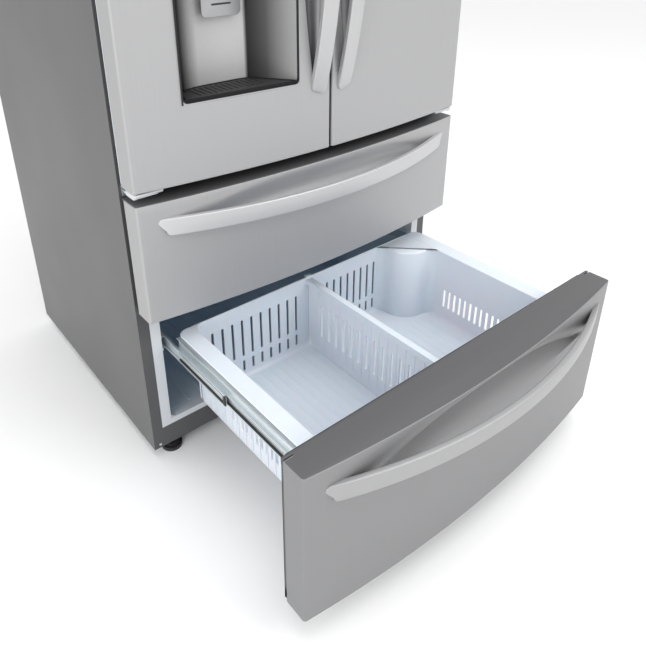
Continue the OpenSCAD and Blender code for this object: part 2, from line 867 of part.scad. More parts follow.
module drawer_gasket(z)
    ring([-half_w + 18, half_w - 18], [panel_back, gasket_back], z, gasket_w);

upper_strap_z = [621, 621 + strap_w];
upper_scoop_z = 645;
lower_strap_z = [341, 341 + strap_w];
lower_scoop_z = 369;

module upper_drawer_skin() color(stainless) place() drawer_skin(upper_z, upper_scoop_z);
module upper_drawer_caps() color(dark_grey) place() drawer_caps(upper_z, upper_scoop_z);
module upper_drawer_gasket() color(rubber_black) place() drawer_gasket([434, 689]);
module upper_drawer_handle() color(stainless) place() drawer_handle(upper_strap_z);
module lower_drawer_skin() color(stainless) pulled() drawer_skin(lower_z, lower_scoop_z);
module lower_drawer_caps() color(dark_grey) pulled() drawer_caps(lower_z, lower_scoop_z);
module lower_drawer_gasket() color(rubber_black) pulled() drawer_gasket([89, 407]);
module lower_drawer_handle() color(stainless) pulled() drawer_handle(lower_strap_z);

basket_y = [-6, 465];
basket_x = 345;
upper_basket_z = [462, 610];
lower_basket_z = [149, 358];
slot_pitch = 27;

// A basket with a rim that rests on the slides' carriers
module basket(z)
    union() {
        tray([-basket_x, basket_x], basket_y, z, 3, 3);
        difference() {
            block([-basket_x - 37, basket_x + 37], basket_y, [z[1] - 4, z[1]]);
            block([-basket_x + 1, basket_x - 1], [basket_y[0] + 1, basket_y[1] - 1], [z[1] - 5, z[1] + 1]);
        }
    }

module upper_drawer_basket() color(ice_white) place() basket(upper_basket_z);

// Slotted freezer basket with a rounded hump in its rear right corner
module lower_drawer_basket()
    color(ice_white) pulled() {
        difference() {
            basket(lower_basket_z);
            for (half = [0, 1])
                for (i = [0 : 9]) {
                    x = half == 0 ? -297 + i * slot_pitch : 24 + i * (slot_pitch - 3);
                    block([x - 3.5, x + 3.5], [basket_y[1] - 5, basket_y[1] + 1], [213, 317]);
                    block([x - 3.5, x + 3.5], [basket_y[1] - 5, basket_y[1] + 1], [160, 200]);
                }
            for (side = [-1, 1])
                for (i = [0 : 10])
                    block([side * basket_x - 5, side * basket_x + 5], [130 + i * 17.7, 138 + i * 17.7], [195, 249]);
        }
        intersection() {
            translate([basket_x - 20, basket_y[1] - 20, lower_basket_z[0]]) cylinder(r = 78, h = 204);
            block([0, basket_x - 1], [0, basket_y[1] - 1], [lower_basket_z[0], lower_basket_z[1] - 5]);
        }
    }

divider_x = -12;

module basket_divider()
    color(ice_white) pulled()
        difference() {
            union() {
                block([divider_x - 2, divider_x + 2], [basket_y[0] + 4, basket_y[1] - 4], [152.5, 348]);
                block([divider_x - 8, divider_x + 8], [basket_y[0] + 4, basket_y[1] - 4], [343, 352]);
                // Hooks over the front and rear walls
                block([divider_x - 8, divider_x + 8], [basket_y[1] - 8, basket_y[1] - 4], [348, 361]);
                block([divider_x - 8, divider_x + 8], [basket_y[1] - 8, basket_y[1] + 4], [358.5, 361]);
                block([divider_x - 8, divider_x + 8], [basket_y[1] + 1, basket_y[1] + 4], [349, 361]);
                block([divider_x - 8, divider_x + 8], [basket_y[0] + 4, basket_y[0] + 8], [348, 361]);
                block([divider_x - 8, divider_x + 8], [basket_y[0] - 3, basket_y[0] + 8], [358.5, 361]);
            }
            for (i = [0 : 15]) {
                y = 30 + i * slot_pitch;
                block([divider_x - 3, divider_x + 3], [y - 3.5, y + 3.5], [205, 300]);
            }
        }

// Drawer members with the carrier angle that the basket's rim sits on
module members(z, rim_z)
    both_sides() {
        block([-member_x[1], -member_x[0]], [panel_back, 5 + slide_len], z);
        block([-member_x[1], -basket_x - 10], [panel_back, 5 + slide_len], [rim_z - 7, rim_z - 4.2]);
        block([-member_x[0] - 1.2, -member_x[0]], [panel_back, 5 + slide_len], [z[1] - 1, rim_z - 4.2]);
    }

module mid_members(z)
    both_sides() block([-mid_x[1], -mid_x[0]], [5, 5 + slide_len], z);

module upper_drawer_slides() color(zinc) place() members(upper_slide_z, upper_basket_z[1]);
module upper_mid_slides() color(zinc) place() mid_members(upper_slide_z);
module lower_drawer_slides() color(zinc) pulled() members(lower_slide_z, lower_basket_z[1]);
module lower_mid_slides() color(zinc) pulled(0.5) mid_members(lower_slide_z);

// ---------------------------------------------------------------- what is drawn

cabinet_shell();
back_panel();
front_frame();
bottom_rail();
insulation();
fridge_liner();
drawer_liner();
freezer_liner();
base_pan();
compressor();
condenser();
condenser_fan();
machine_cover();
water_inlet();
cord_gland();
hinge_brackets();
hinge_covers();
frame_screws();
glass_shelves();
duct_cover();
evaporator_cover();
evaporator_fan();
slide_rails();
left_foot();
right_foot();
rear_rollers();
left_crisper();
right_crisper();
left_door_skin();
left_door_liner();
left_door_gasket();
left_door_handle();
left_door_caps();
left_door_bins();
dispenser_housing();
drip_tray();
dispenser_paddle();
ice_room();
mullion();
right_door_skin();
right_door_liner();
right_door_gasket();
right_door_handle();
right_door_caps();
right_door_bins();
upper_drawer_skin();
upper_drawer_caps();
upper_drawer_gasket();
upper_drawer_handle();
upper_drawer_basket();
upper_drawer_slides();
upper_mid_slides();
lower_drawer_skin();
lower_drawer_caps();
lower_drawer_gasket();
lower_drawer_handle();
lower_drawer_basket();
basket_divider();
lower_drawer_slides();
lower_mid_slides();
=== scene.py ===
"""French door refrigerator: the looks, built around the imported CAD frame.

Lengths are millimetres, with X = 0 in the middle of the width, Y = 0 on the cabinet's front
plane and Z = 0 on the floor. The helpers turn them into the frame's metres.
"""
import math

import bmesh
import bpy
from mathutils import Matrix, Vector


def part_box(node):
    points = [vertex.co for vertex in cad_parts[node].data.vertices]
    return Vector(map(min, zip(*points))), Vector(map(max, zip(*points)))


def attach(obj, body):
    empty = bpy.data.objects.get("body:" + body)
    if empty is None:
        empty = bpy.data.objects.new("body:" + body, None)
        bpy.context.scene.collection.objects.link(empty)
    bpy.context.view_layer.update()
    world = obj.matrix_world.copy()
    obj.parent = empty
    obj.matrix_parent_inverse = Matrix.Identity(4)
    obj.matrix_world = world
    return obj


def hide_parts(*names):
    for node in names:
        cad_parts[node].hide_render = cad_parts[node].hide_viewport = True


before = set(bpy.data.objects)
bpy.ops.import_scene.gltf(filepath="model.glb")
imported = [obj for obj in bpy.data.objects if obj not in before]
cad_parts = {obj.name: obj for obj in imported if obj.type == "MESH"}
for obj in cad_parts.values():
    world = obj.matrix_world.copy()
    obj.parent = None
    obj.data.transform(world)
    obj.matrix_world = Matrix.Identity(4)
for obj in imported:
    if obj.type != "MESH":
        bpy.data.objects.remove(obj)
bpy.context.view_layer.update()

FRONT_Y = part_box("cabinet_shell")[0][1]


def node_box(node):
    """Box of a CAD node as ((x0, x1), (y0, y1), (z0, z1)), in millimetres from the cabinet's front."""
    low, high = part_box(node)
    origin = (0, FRONT_Y, 0)
    return tuple(((low[i] - origin[i]) * 1000, (high[i] - origin[i]) * 1000) for i in range(3))


# ------------------------------------------------------------------ sizes, most of them read from the frame

HALF = node_box("cabinet_shell")[0][1]
DOOR_Z = node_box("left_door_skin")[2]
UPPER_Z = node_box("upper_drawer_skin")[2]
LOWER_Z = node_box("lower_drawer_skin")[2]
SKIN_BACK = node_box("upper_drawer_skin")[1][1]
FRONT_MID = -node_box("upper_drawer_skin")[1][0]
PULLED = SKIN_BACK - node_box("lower_drawer_skin")[1][1]
DOOR_GAP = 2 * node_box("right_door_skin")[0][0]
DISP_X, _, DISP_Z = node_box("dispenser_housing")
FRONT_BOW = 34.0
BOW_R = (HALF ** 2 + FRONT_BOW ** 2) / (2 * FRONT_BOW)
EDGE_R = 5.0
LIP_R = 1.2


def bow_y(x):
    """Front surface of the doors and drawer fronts at x."""
    return BOW_R - FRONT_MID - math.sqrt(BOW_R ** 2 - x * x)


def rounding(distance, radius):
    """How far a rounded edge falls back, at a distance from the edge."""
    if distance >= radius:
        return 0.0
    return radius - math.sqrt(max(0.0, radius ** 2 - (radius - distance) ** 2))


# ------------------------------------------------------------------ materials

def node_material(name, color, rough, metallic=0.0, tone=0.05, grain=60, bump=0.1,
                  rough_spread=0.08, coat=0.0, specular=0.5, alpha=1.0, subsurface=0.0):
    """Principled shader whose colour, roughness and bump come from noise of the grain's scale."""
    mat = bpy.data.materials.new(name)
    mat.use_nodes = True
    nodes = mat.node_tree.nodes
    links = mat.node_tree.links
    shader = nodes["Principled BSDF"]
    for socket, value in (("Metallic", metallic), ("Specular IOR Level", specular), ("Coat Weight", coat),
                          ("Coat Roughness", 0.15), ("Alpha", alpha), ("Subsurface Weight", subsurface),
                          ("Subsurface Scale", 0.01)):
        shader.inputs[socket].default_value = value
    coords = nodes.new("ShaderNodeTexCoord")

    def noise(scale, detail):
        mapping = nodes.new("ShaderNodeMapping")
        mapping.inputs["Scale"].default_value = scale
        texture = nodes.new("ShaderNodeTexNoise")
        texture.inputs["Scale"].default_value = 1.0
        texture.inputs["Detail"].default_value = detail
        links.new(coords.outputs["Object"], mapping.inputs["Vector"])
        links.new(mapping.outputs["Vector"], texture.inputs["Vector"])
        return texture

    fine = noise(grain if isinstance(grain, tuple) else (grain,) * 3, 3.0)
    mix = nodes.new("ShaderNodeMix")
    mix.data_type = "RGBA"
    dark = [c * (1 - tone) for c in color]
    light = [min(1.0, c * (1 + tone)) for c in color]
    mix.inputs["A"].default_value = (*dark, 1.0)
    mix.inputs["B"].default_value = (*light, 1.0)
    links.new(fine.outputs["Fac"], mix.inputs["Factor"])
    links.new(mix.outputs["Result"], shader.inputs["Base Color"])
    cloud = noise((3.0, 3.0, 3.0), 2.0)
    spread = nodes.new("ShaderNodeMapRange")
    spread.inputs["To Min"].default_value = max(0.02, rough - rough_spread)
    spread.inputs["To Max"].default_value = rough + rough_spread
    links.new(cloud.outputs["Fac"], spread.inputs["Value"])
    links.new(spread.outputs["Result"], shader.inputs["Roughness"])
    relief = nodes.new("ShaderNodeBump")
    relief.inputs["Strength"].default_value = bump
    relief.inputs["Distance"].default_value = 0.0004
    links.new(fine.outputs["Fac"], relief.inputs["Height"])
    links.new(relief.outputs["Normal"], shader.inputs["Normal"])
    mat.diffuse_color = (*color, alpha)
    return mat


FRONT_BRUSH = dict(tone=0.05, grain=(1400, 1400, 5), bump=0.05, rough_spread=0.03)
LEVEL_BRUSH = dict(metallic=0.55, tone=0.03, grain=(6, 1400, 1400), bump=0.04, rough_spread=0.03)
UPRIGHT_BRUSH = dict(metallic=0.6, tone=0.03, grain=(1400, 1400, 6), bump=0.04, rough_spread=0.03)
# Each look is a colour, a roughness and what differs from node_material's defaults
LOOKS = {
    "cabinet_paint": ((0.080, 0.080, 0.082), 0.42, dict(grain=900, bump=0.12, coat=0.1)),
    "dark_paint": ((0.078, 0.078, 0.08), 0.45, dict(tone=0.06, grain=800, bump=0.12)),
    "stainless": ((0.405, 0.405, 0.41), 0.5, dict(metallic=0.55, **FRONT_BRUSH)),
    # A darker copy of the stainless: painted shade on the lower drawer's front
    "stainless_painted_shade": ((0.265, 0.265, 0.27), 0.5, dict(metallic=0.7, **FRONT_BRUSH)),
    # A darker copy of the stainless: painted shade in the doors' pockets
    "pocket_steel_painted_shade": ((0.20, 0.20, 0.205), 0.42, dict(metallic=0.8, **FRONT_BRUSH)),
    "handle_steel": ((0.53, 0.53, 0.54), 0.45, LEVEL_BRUSH),
    # A darker copy of the handle steel: painted shade on the lower drawer's strap
    "handle_steel_painted_shade": ((0.36, 0.36, 0.365), 0.45, LEVEL_BRUSH),
    "door_handle_steel": ((0.50, 0.50, 0.505), 0.45, UPRIGHT_BRUSH),
    "dark_plastic": ((0.083, 0.083, 0.086), 0.5, dict(tone=0.08, grain=700, bump=0.3)),
    "black_plastic": ((0.02, 0.02, 0.021), 0.5, dict(tone=0.12, grain=500, bump=0.25)),
    "gasket_rubber": ((0.012, 0.012, 0.012), 0.7, dict(tone=0.2, grain=300, bump=0.2)),
    "liner_plastic": ((0.80, 0.835, 0.88), 0.3,
                      dict(tone=0.012, grain=40, bump=0.05, coat=0.25, subsurface=0.1)),
    "basket_plastic": ((0.66, 0.71, 0.775), 0.34, dict(tone=0.02, coat=0.2, subsurface=0.2)),
    "clear_plastic": ((0.80, 0.87, 0.93), 0.12, dict(tone=0.02, grain=50, bump=0.05, alpha=0.42)),
    "dispenser_plastic": ((0.40, 0.40, 0.41), 0.33, dict(metallic=0.7, tone=0.03, grain=900, bump=0.05)),
    "zinc_steel": ((0.66, 0.72, 0.745), 0.32, dict(metallic=0.75, tone=0.08, grain=(90, 20, 90), bump=0.08)),
    "shelf_glass": ((0.72, 0.86, 0.82), 0.05,
                    dict(tone=0.02, grain=20, bump=0.02, alpha=0.28, rough_spread=0.02)),
    "brass": ((0.62, 0.42, 0.18), 0.35, dict(metallic=1.0, tone=0.1, grain=200)),
    "foam": ((0.80, 0.70, 0.42), 0.9, dict(tone=0.15, grain=150, bump=0.5)),
    "display": ((0.010, 0.010, 0.012), 0.12, dict(tone=0.3, grain=200, bump=0.02, coat=0.6)),
    "lamp": ((0.92, 0.94, 0.96), 0.4, dict(tone=0.02, grain=200, bump=0.2)),
    "shadow_plastic": ((0.012, 0.012, 0.013), 0.6, dict(tone=0.1, grain=300, specular=0.15)),
    "hinge_paint": ((0.60, 0.60, 0.61), 0.35, dict(metallic=0.3, tone=0.04, grain=300)),
    "tray_plastic": ((0.045, 0.045, 0.046), 0.6, dict(tone=0.1, grain=300, specular=0.15)),
    "rib_plastic": ((0.66, 0.71, 0.77), 0.4, dict(tone=0.03, grain=80, coat=0.1, subsurface=0.2)),
    "floor": ((0.9, 0.9, 0.9), 0.6, dict(tone=0.01, grain=4, bump=0.02, specular=0.2)),
}
MAT = {name: node_material(name, color, rough, **more) for name, (color, rough, more) in LOOKS.items()}


def graded_material(name, axis, stops, rough, metallic=0.0):
    """Painted shade whose tone changes along one axis: stops are (millimetres from the frame's origin, tone).
    """
    mat = node_material(name, (0.5, 0.5, 0.5), rough, metallic=metallic, tone=0.03, grain=700, bump=0.05)
    nodes = mat.node_tree.nodes
    links = mat.node_tree.links
    shader = nodes["Principled BSDF"]
    coords = nodes.new("ShaderNodeTexCoord")
    split = nodes.new("ShaderNodeSeparateXYZ")
    links.new(coords.outputs["Object"], split.inputs["Vector"])
    span = nodes.new("ShaderNodeMapRange")
    low, high = stops[0][0] / 1000, stops[-1][0] / 1000
    span.inputs["From Min"].default_value = low
    span.inputs["From Max"].default_value = high
    links.new(split.outputs[axis], span.inputs["Value"])
    ramp = nodes.new("ShaderNodeValToRGB")
    while len(ramp.color_ramp.elements) < len(stops):
        ramp.color_ramp.elements.new(0.5)
    for element, (at, tone) in zip(ramp.color_ramp.elements, stops):
        element.position = (at / 1000 - low) / (high - low)
        element.color = (*tone, 1.0)
    links.new(span.outputs["Result"], ramp.inputs["Fac"])
    grain = nodes.new("ShaderNodeTexNoise")
    grain.inputs["Scale"].default_value = 300.0
    links.new(coords.outputs["Object"], grain.inputs["Vector"])
    blend = nodes.new("ShaderNodeMix")
    blend.data_type = "RGBA"
    blend.blend_type = "SOFT_LIGHT"
    blend.inputs["Factor"].default_value = 0.12
    links.new(ramp.outputs["Color"], blend.inputs["A"])
    links.new(grain.outputs["Color"], blend.inputs["B"])
    links.new(blend.outputs["Result"], shader.inputs["Base Color"])
    return mat


def grey(value, blue=0.0):
    """A grey, or with blue above 0 a cooler one."""
    return (value * (1 - blue), value * (1 - blue / 2), value)


# Painted shade: the recess and the freezer get darker or bluer where less light reaches
MAT["recess_wall"] = graded_material("recess_wall", "X", [
    (-345, grey(0.006)), (-303, grey(0.008)), (-290, grey(0.12)), (-262, grey(0.46)), (-156, grey(0.52)),
    (-149, grey(0.02)), (-125, grey(0.05)), (-86, grey(0.30))], 0.4, metallic=0.1)
MAT["freezer_wall"] = graded_material("freezer_wall", "Y", [
    (FRONT_Y * 1000 + depth, grey(tone, blue)) for depth, tone, blue in (
        (-1, 0.66, 0.08), (6, 0.66, 0.08), (30, 0.62, 0.2), (160, 0.66, 0.33), (420, 0.68, 0.36),
        (600, 0.62, 0.36))], 0.4)


# ------------------------------------------------------------------ mesh helpers

def place(points, pulled=0.0):
    """Millimetres from the cabinet's front to the frame's metres."""
    return [(x / 1000, (y - pulled) / 1000 + FRONT_Y, z / 1000) for x, y, z in points]


def new_object(name, data):
    obj = bpy.data.objects.new(name, data)
    bpy.context.scene.collection.objects.link(obj)
    return obj


def soften_edges(obj, width, segments):
    """Rounds a piece's edges by a width in millimetres."""
    bevel = obj.modifiers.new("bevel", "BEVEL")
    bevel.width = width / 1000
    bevel.segments = segments
    bevel.limit_method = "ANGLE"
    bevel.angle_limit = math.radians(40)


def make_mesh(name, shape, pulled, weld=True):
    """Mesh from a shape, which is its points in millimetres and its faces."""
    points, faces = shape
    mesh = bpy.data.meshes.new(name)
    mesh.from_pydata(place(points, pulled), [], faces)
    work = bmesh.new()
    work.from_mesh(mesh)
    if weld:
        bmesh.ops.remove_doubles(work, verts=work.verts, dist=1e-6)
    bmesh.ops.recalc_face_normals(work, faces=work.faces)
    work.to_mesh(mesh)
    work.free()
    return mesh


def add_piece(name, shape, mat, body, slot, replaces=(), sharp=35, bevel=0.0, pulled=0.0, segments=2):
    """A piece that rides on a body. A shape on an open drawer is given closed, then pulled out."""
    mesh = make_mesh(name, shape, pulled)
    obj = new_object(name, mesh)
    mesh.materials.append(MAT[mat])
    if bevel:
        soften_edges(obj, bevel, segments)
    mesh.shade_smooth()
    mesh.set_sharp_from_angle(angle=math.radians(sharp))
    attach(obj, body)
    if replaces:
        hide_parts(*replaces)
    return obj


def combined(shapes):
    """One shape made of several."""
    points, faces = [], []
    for more, quads in shapes:
        faces += [tuple(len(points) + i for i in quad) for quad in quads]
        points += more
    return points, faces


BOX_FACES = ((0, 1, 3, 2), (4, 6, 7, 5), (0, 4, 5, 1), (2, 3, 7, 6), (0, 2, 6, 4), (1, 5, 7, 3))


def add_boxes(name, boxes, mat, body, slot, bevel=0.8, **options):
    """Separate rounded blocks, each ((x0, x1), (y0, y1), (z0, z1)), in one piece."""
    shape = combined([([(x, y, z) for x in bx for y in by for z in bz], BOX_FACES) for bx, by, bz in boxes])
    return add_piece(name, shape, mat, body, slot, bevel=bevel, **options)


def mirrored(boxes):
    """The boxes and their twins across the middle."""
    return list(boxes) + [((-bx[1], -bx[0]), by, bz) for bx, by, bz in boxes]


def join_rings(rings, closed_ends=True, closed_loop=False):
    """Points and faces of a skin over rings that all have the same number of points."""
    size = len(rings[0])
    points = [p for ring in rings for p in ring]
    faces = []
    last = len(rings) if closed_loop else len(rings) - 1
    for k in range(last):
        a, b = k * size, ((k + 1) % len(rings)) * size
        for i in range(size):
            j = (i + 1) % size
            faces.append((a + i, a + j, b + j, b + i))
    if closed_ends and not closed_loop:
        faces.append(tuple(range(size)))
        faces.append(tuple(range((len(rings) - 1) * size, len(rings) * size)))
    return points, faces


def rounded_rect(x, y, radius, steps):
    """Outline of a rounded rectangle, anticlockwise, as (x, y) pairs."""
    outline = []
    for cx, cy, start in ((x[1] - radius, y[0] + radius, -90), (x[1] - radius, y[1] - radius, 0),
                          (x[0] + radius, y[1] - radius, 90), (x[0] + radius, y[0] + radius, 180)):
        for k in range(steps + 1):
            a = math.radians(start + 90 * k / steps)
            outline.append((cx + radius * math.cos(a), cy + radius * math.sin(a)))
    return outline


def turn(step, first, last):
    """Angles in radians, in steps of so many degrees."""
    return [math.radians(step * k) for k in range(first, last + 1)]


def on_axis(axis, depth, u, v):
    """Point at a depth along an axis, with its other two coordinates in their order."""
    return {"x": (depth, u, v), "y": (u, depth, v), "z": (u, v, depth)}[axis]


def disc(name, centre, axis, profile, mat, body, slot, sides=40):
    """A turned piece: profile is (radius, height along the axis) pairs, closed at both ends."""
    rings = []
    for radius, height in profile:
        ring = []
        for i in range(sides):
            a = 2 * math.pi * i / sides
            offset = on_axis(axis, height, radius * math.cos(a), radius * math.sin(a))
            ring.append(tuple(c + o for c, o in zip(centre, offset)))
        rings.append(ring)
    return add_piece(name, join_rings(rings), mat, body, slot)


def cut(obj, boxes, axis, radius, pulled=0.0):
    """Cuts slots with rounded corners, given as boxes that run along an axis, out of a piece."""
    shapes = []
    for bx, by, bz in boxes:
        across, up, depths = {"x": (by, bz, bx), "y": (bx, bz, by), "z": (bx, by, bz)}[axis]
        outline = rounded_rect(across, up, radius, 3)
        shapes.append(join_rings([[on_axis(axis, depth, u, v) for u, v in outline] for depth in depths]))
    cutter = new_object("cutter", make_mesh("cutter", combined(shapes), pulled, weld=False))
    boolean = obj.modifiers.new("cut", "BOOLEAN")
    boolean.operation = "DIFFERENCE"
    boolean.solver = "EXACT"
    boolean.object = cutter
    depsgraph = bpy.context.evaluated_depsgraph_get()
    result = bpy.data.meshes.new_from_object(obj.evaluated_get(depsgraph))
    obj.modifiers.remove(boolean)
    obj.data = result
    bpy.data.objects.remove(cutter)
    result.shade_smooth()
    result.set_sharp_from_angle(angle=math.radians(35))


def lines(*stretches):
    """Grid lines: each stretch is (from, to, steps), and only the last one includes its end."""
    values = []
    for number, (low, high, steps) in enumerate(stretches, 1):
        count = steps + (number == len(stretches))
        values += [low + (high - low) * k / steps for k in range(count)]
    return values


# ------------------------------------------------------------------ stainless fronts

def grid_faces(across, up, at, hole=None):
    """Faces of a closed front: at(layer, i, j) numbers its points, and hole gives the cells left open."""
    def is_open(i, j):
        if not (0 <= i < across - 1 and 0 <= j < up - 1):
            return True
        return hole is not None and hole[0] <= i < hole[1] and hole[2] <= j < hole[3]

    faces = []
    for i in range(across - 1):
        for j in range(up - 1):
            if is_open(i, j):
                continue
            faces.append((at(0, i, j), at(0, i + 1, j), at(0, i + 1, j + 1), at(0, i, j + 1)))
            faces.append((at(1, i, j), at(1, i, j + 1), at(1, i + 1, j + 1), at(1, i + 1, j)))
            for di, dj, a, b in ((-1, 0, (i, j), (i, j + 1)), (1, 0, (i + 1, j), (i + 1, j + 1)),
                                 (0, -1, (i, j), (i + 1, j)), (0, 1, (i, j + 1), (i + 1, j + 1))):
                if is_open(i + di, j + dj):
                    faces.append((at(0, *a), at(0, *b), at(1, *b), at(1, *a)))
    return faces


# Distances of the grid's outermost lines from a front's side edges and from its top and bottom
EDGE_STEPS = (0, 0.35, 0.8, 1.5, 2.4, 3.5, 5.0)
LIP_STEPS = (0, 0.3, 0.8, 1.5)
CAP_LIP = 0.8
SCOOP_END = 345.0


def pocket_lines(x):
    """Heights of the finger pocket's foot, crease and brow, below the top edge, at x."""
    s = min(abs(x), SCOOP_END)
    brow = -1.5 - 42 * (s / 330) ** 3.6
    crease = max(-80.0, -20 - 52 * (s / 275) ** 1.6)
    return -84.0, crease, max(brow, crease + 6)


def pocket_depth(x):
    """How far the finger pocket goes back at x."""
    s = min(abs(x) / SCOOP_END, 1.0)
    return 18.0 * (1 - s ** 4)


def drawer_front(label, z, mat, pulled, soft=False):
    """Bowed drawer front with the finger pocket above its handle, creased or soft."""
    top = z[1] - CAP_LIP
    columns = [-HALF + d for d in EDGE_STEPS] + lines((-HALF + 9, HALF - 9, 112))
    columns += [HALF - d for d in reversed(EDGE_STEPS)]

    def rows(x):
        foot, crease, brow = pocket_lines(x)
        heights = [z[0] + d for d in LIP_STEPS]
        heights += lines((z[0] + 6, top + foot, 10), (top + foot, top + crease, 6),
                         (top + crease, top + brow, 14), (top + brow, top - LIP_R, 3))
        return heights + [top - 0.6, top - 0.2, top]

    def surface(x, h):
        foot, crease, brow = pocket_lines(x)
        below = h - top
        if below <= foot or below >= brow:
            depth = 0.0
        elif soft:
            depth = 0.8 * pocket_depth(x) * math.sin(math.pi * (brow - below) / (brow - foot)) ** 2
        elif below <= crease:
            depth = pocket_depth(x) * (below - foot) / (crease - foot)
        else:
            depth = pocket_depth(x) * ((brow - below) / (brow - crease)) ** 1.8
        edge = min(x + HALF, HALF - x)
        return bow_y(x) + rounding(edge, EDGE_R) + rounding(min(h - z[0], top - h), LIP_R) + depth

    across, up = len(columns), len(rows(0.0))
    points = [(x, surface(x, h), h) for x in columns for h in rows(x)]
    points += [(x, SKIN_BACK, h) for x in columns for h in rows(x)]
    faces = grid_faces(across, up, lambda layer, i, j: (layer * across + i) * up + j)
    body = label + "_drawer"
    add_piece(body + "_front", (points, faces), mat, body, "stainless", replaces=[body + "_skin"], sharp=28,
              pulled=pulled)


drawer_front("upper", UPPER_Z, "stainless", 0.0, soft=True)
# The lower front gets the darker copy of the stainless, as painted shade
drawer_front("lower", LOWER_Z, "stainless_painted_shade", PULLED)

# Doors: middle and half length of the straps, the long pocket beside them, and the grid's divisions
HANDLE_MID = 1220.0
STRAP_HALF = 375.0
SCOOP_HALF = 371.0
SCOOP_X = -45.0
SCOOP_R = 32.0
SCOOP_AHEAD = 3.0
ROWS_BELOW = 14
ROWS_BESIDE = 60
COLUMNS_LEFT = 10
COLUMNS_ABOVE = 20
# Share of the pocket's width that gets the darker steel as painted shade
POCKET_SHADE_SHARE = 0.93


def half_width(z):
    """Half the width of a door's pocket at a height, and the radius that hollows it."""
    t = min(abs(z - HANDLE_MID) / SCOOP_HALF, 1.0)
    r = SCOOP_R * (1 - t * t)
    return max(math.sqrt(max(r * r - SCOOP_AHEAD ** 2, 0.0)), 1.0), r


def door_front(body, side, has_hole):
    """Bowed door front with a long lens-shaped pocket beside its inner edge."""
    x_in = -DOOR_GAP / 2
    heights = [DOOR_Z[0] + d for d in LIP_STEPS]
    heights += lines((DOOR_Z[0] + 8, DISP_Z[0], ROWS_BELOW), (DISP_Z[0], DISP_Z[1], ROWS_BESIDE),
                     (DISP_Z[1], DOOR_Z[1] - 8, 44))
    heights += [DOOR_Z[1] - d for d in reversed(LIP_STEPS)]

    def columns(z):
        half, _ = half_width(z)
        low, high = SCOOP_X - half, SCOOP_X + half
        xs = [-HALF + d for d in EDGE_STEPS]
        xs += lines((-HALF + 10, DISP_X[0], COLUMNS_LEFT), (DISP_X[0], DISP_X[1], COLUMNS_ABOVE))
        xs += lines((DISP_X[1] + 1.5, low, 2), (low, high, 20), (high, x_in - EDGE_R, 3))
        return xs[:-1] + [x_in - d for d in reversed(EDGE_STEPS)]

    def surface(x, z):
        _, r = half_width(z)
        edge = min(x + HALF, x_in - x)
        y = bow_y(x) + rounding(edge, EDGE_R) + rounding(min(z - DOOR_Z[0], DOOR_Z[1] - z), LIP_R)
        inside = r * r - (x - SCOOP_X) ** 2
        if inside > SCOOP_AHEAD ** 2 and r > SCOOP_AHEAD:
            y += math.sqrt(inside) - SCOOP_AHEAD
        return y

    across, up = len(columns(HANDLE_MID)), len(heights)
    points = [(side * x, surface(x, z), z) for z in heights for x in columns(z)]
    points += [(side * x, SKIN_BACK, z) for z in heights for x in columns(z)]
    first_x = len(EDGE_STEPS) + COLUMNS_LEFT
    first_z = len(LIP_STEPS) + ROWS_BELOW
    hole = (first_x, first_x + COLUMNS_ABOVE, first_z, first_z + ROWS_BESIDE) if has_hole else None
    faces = grid_faces(across, up, lambda layer, i, j: (layer * up + j) * across + i, hole)
    front = add_piece(body + "_front", (points, faces), "stainless", body, "stainless",
                      replaces=[body + "_skin"], sharp=28)
    # Faces inside the pocket get the darker steel: painted shade in the hollow
    front.data.materials.append(MAT["pocket_steel_painted_shade"])
    for polygon in front.data.polygons:
        half, _ = half_width(polygon.center.z * 1000)
        if half > 2 and abs(side * polygon.center.x * 1000 - SCOOP_X) < half * POCKET_SHADE_SHARE:
            polygon.material_index = 1


door_front("left_door", 1, True)
door_front("right_door", -1, False)


# ------------------------------------------------------------------ handles

# Straps: thickness, reach from the front, how deep their ends sit, and their roundings
STRAP_T = 12.0
STRAP_OUT = 56.0
STRAP_PROUD = 3.0
STRAP_EDGE = 2.6
STRAP_CORNER = 9.0
STRAP_STEPS = (0.0, 0.6, 1.6, 3.2, 5.2, 7.6, 10.0)


def handle(name, node, half_len, across, to_point, mat, body, pulled=0.0):
    """Arched strap: to_point(along, depth, across, share) places a point of its section."""
    width = across[1] - across[0]
    centre = (across[0] + across[1]) / 2
    section = rounded_rect((0.0, STRAP_T), across, STRAP_EDGE, 4)
    along = [-half_len + d for d in STRAP_STEPS] + lines((-half_len + 16, half_len - 16, 90))
    along += [half_len - d for d in reversed(STRAP_STEPS)]
    rings = []
    for s in along:
        narrow = 1 - rounding(half_len - abs(s), STRAP_CORNER) / (width / 2)
        rings.append([to_point(s, depth, centre + (place_across - centre) * narrow,
                               (place_across - across[0]) / width)
                      for depth, place_across in section])
    add_piece(name, join_rings(rings), mat, body, "stainless", replaces=[node], sharp=50, pulled=pulled)


def drawer_handle(label, mat, pulled):
    """A drawer's strap, bowed out level with the floor."""
    node = label + "_drawer_handle"
    x, _, z = node_box(node)
    half = x[1] - 3
    rise = STRAP_OUT - STRAP_PROUD + FRONT_BOW * (half / HALF) ** 2
    radius = (half ** 2 + rise ** 2) / (2 * rise)

    def to_point(along, depth, height, share):
        x = along * (1 + (share - 0.5) * 0.035)
        angle = math.asin(min(1.0, abs(x) / radius)) * (1 if x > 0 else -1)
        y = radius - FRONT_MID - STRAP_OUT - (radius - depth) * math.cos(angle)
        return ((radius - depth) * math.sin(angle), y, height)

    handle(label + "_drawer_strap", node, half, z, to_point, mat, label + "_drawer", pulled)


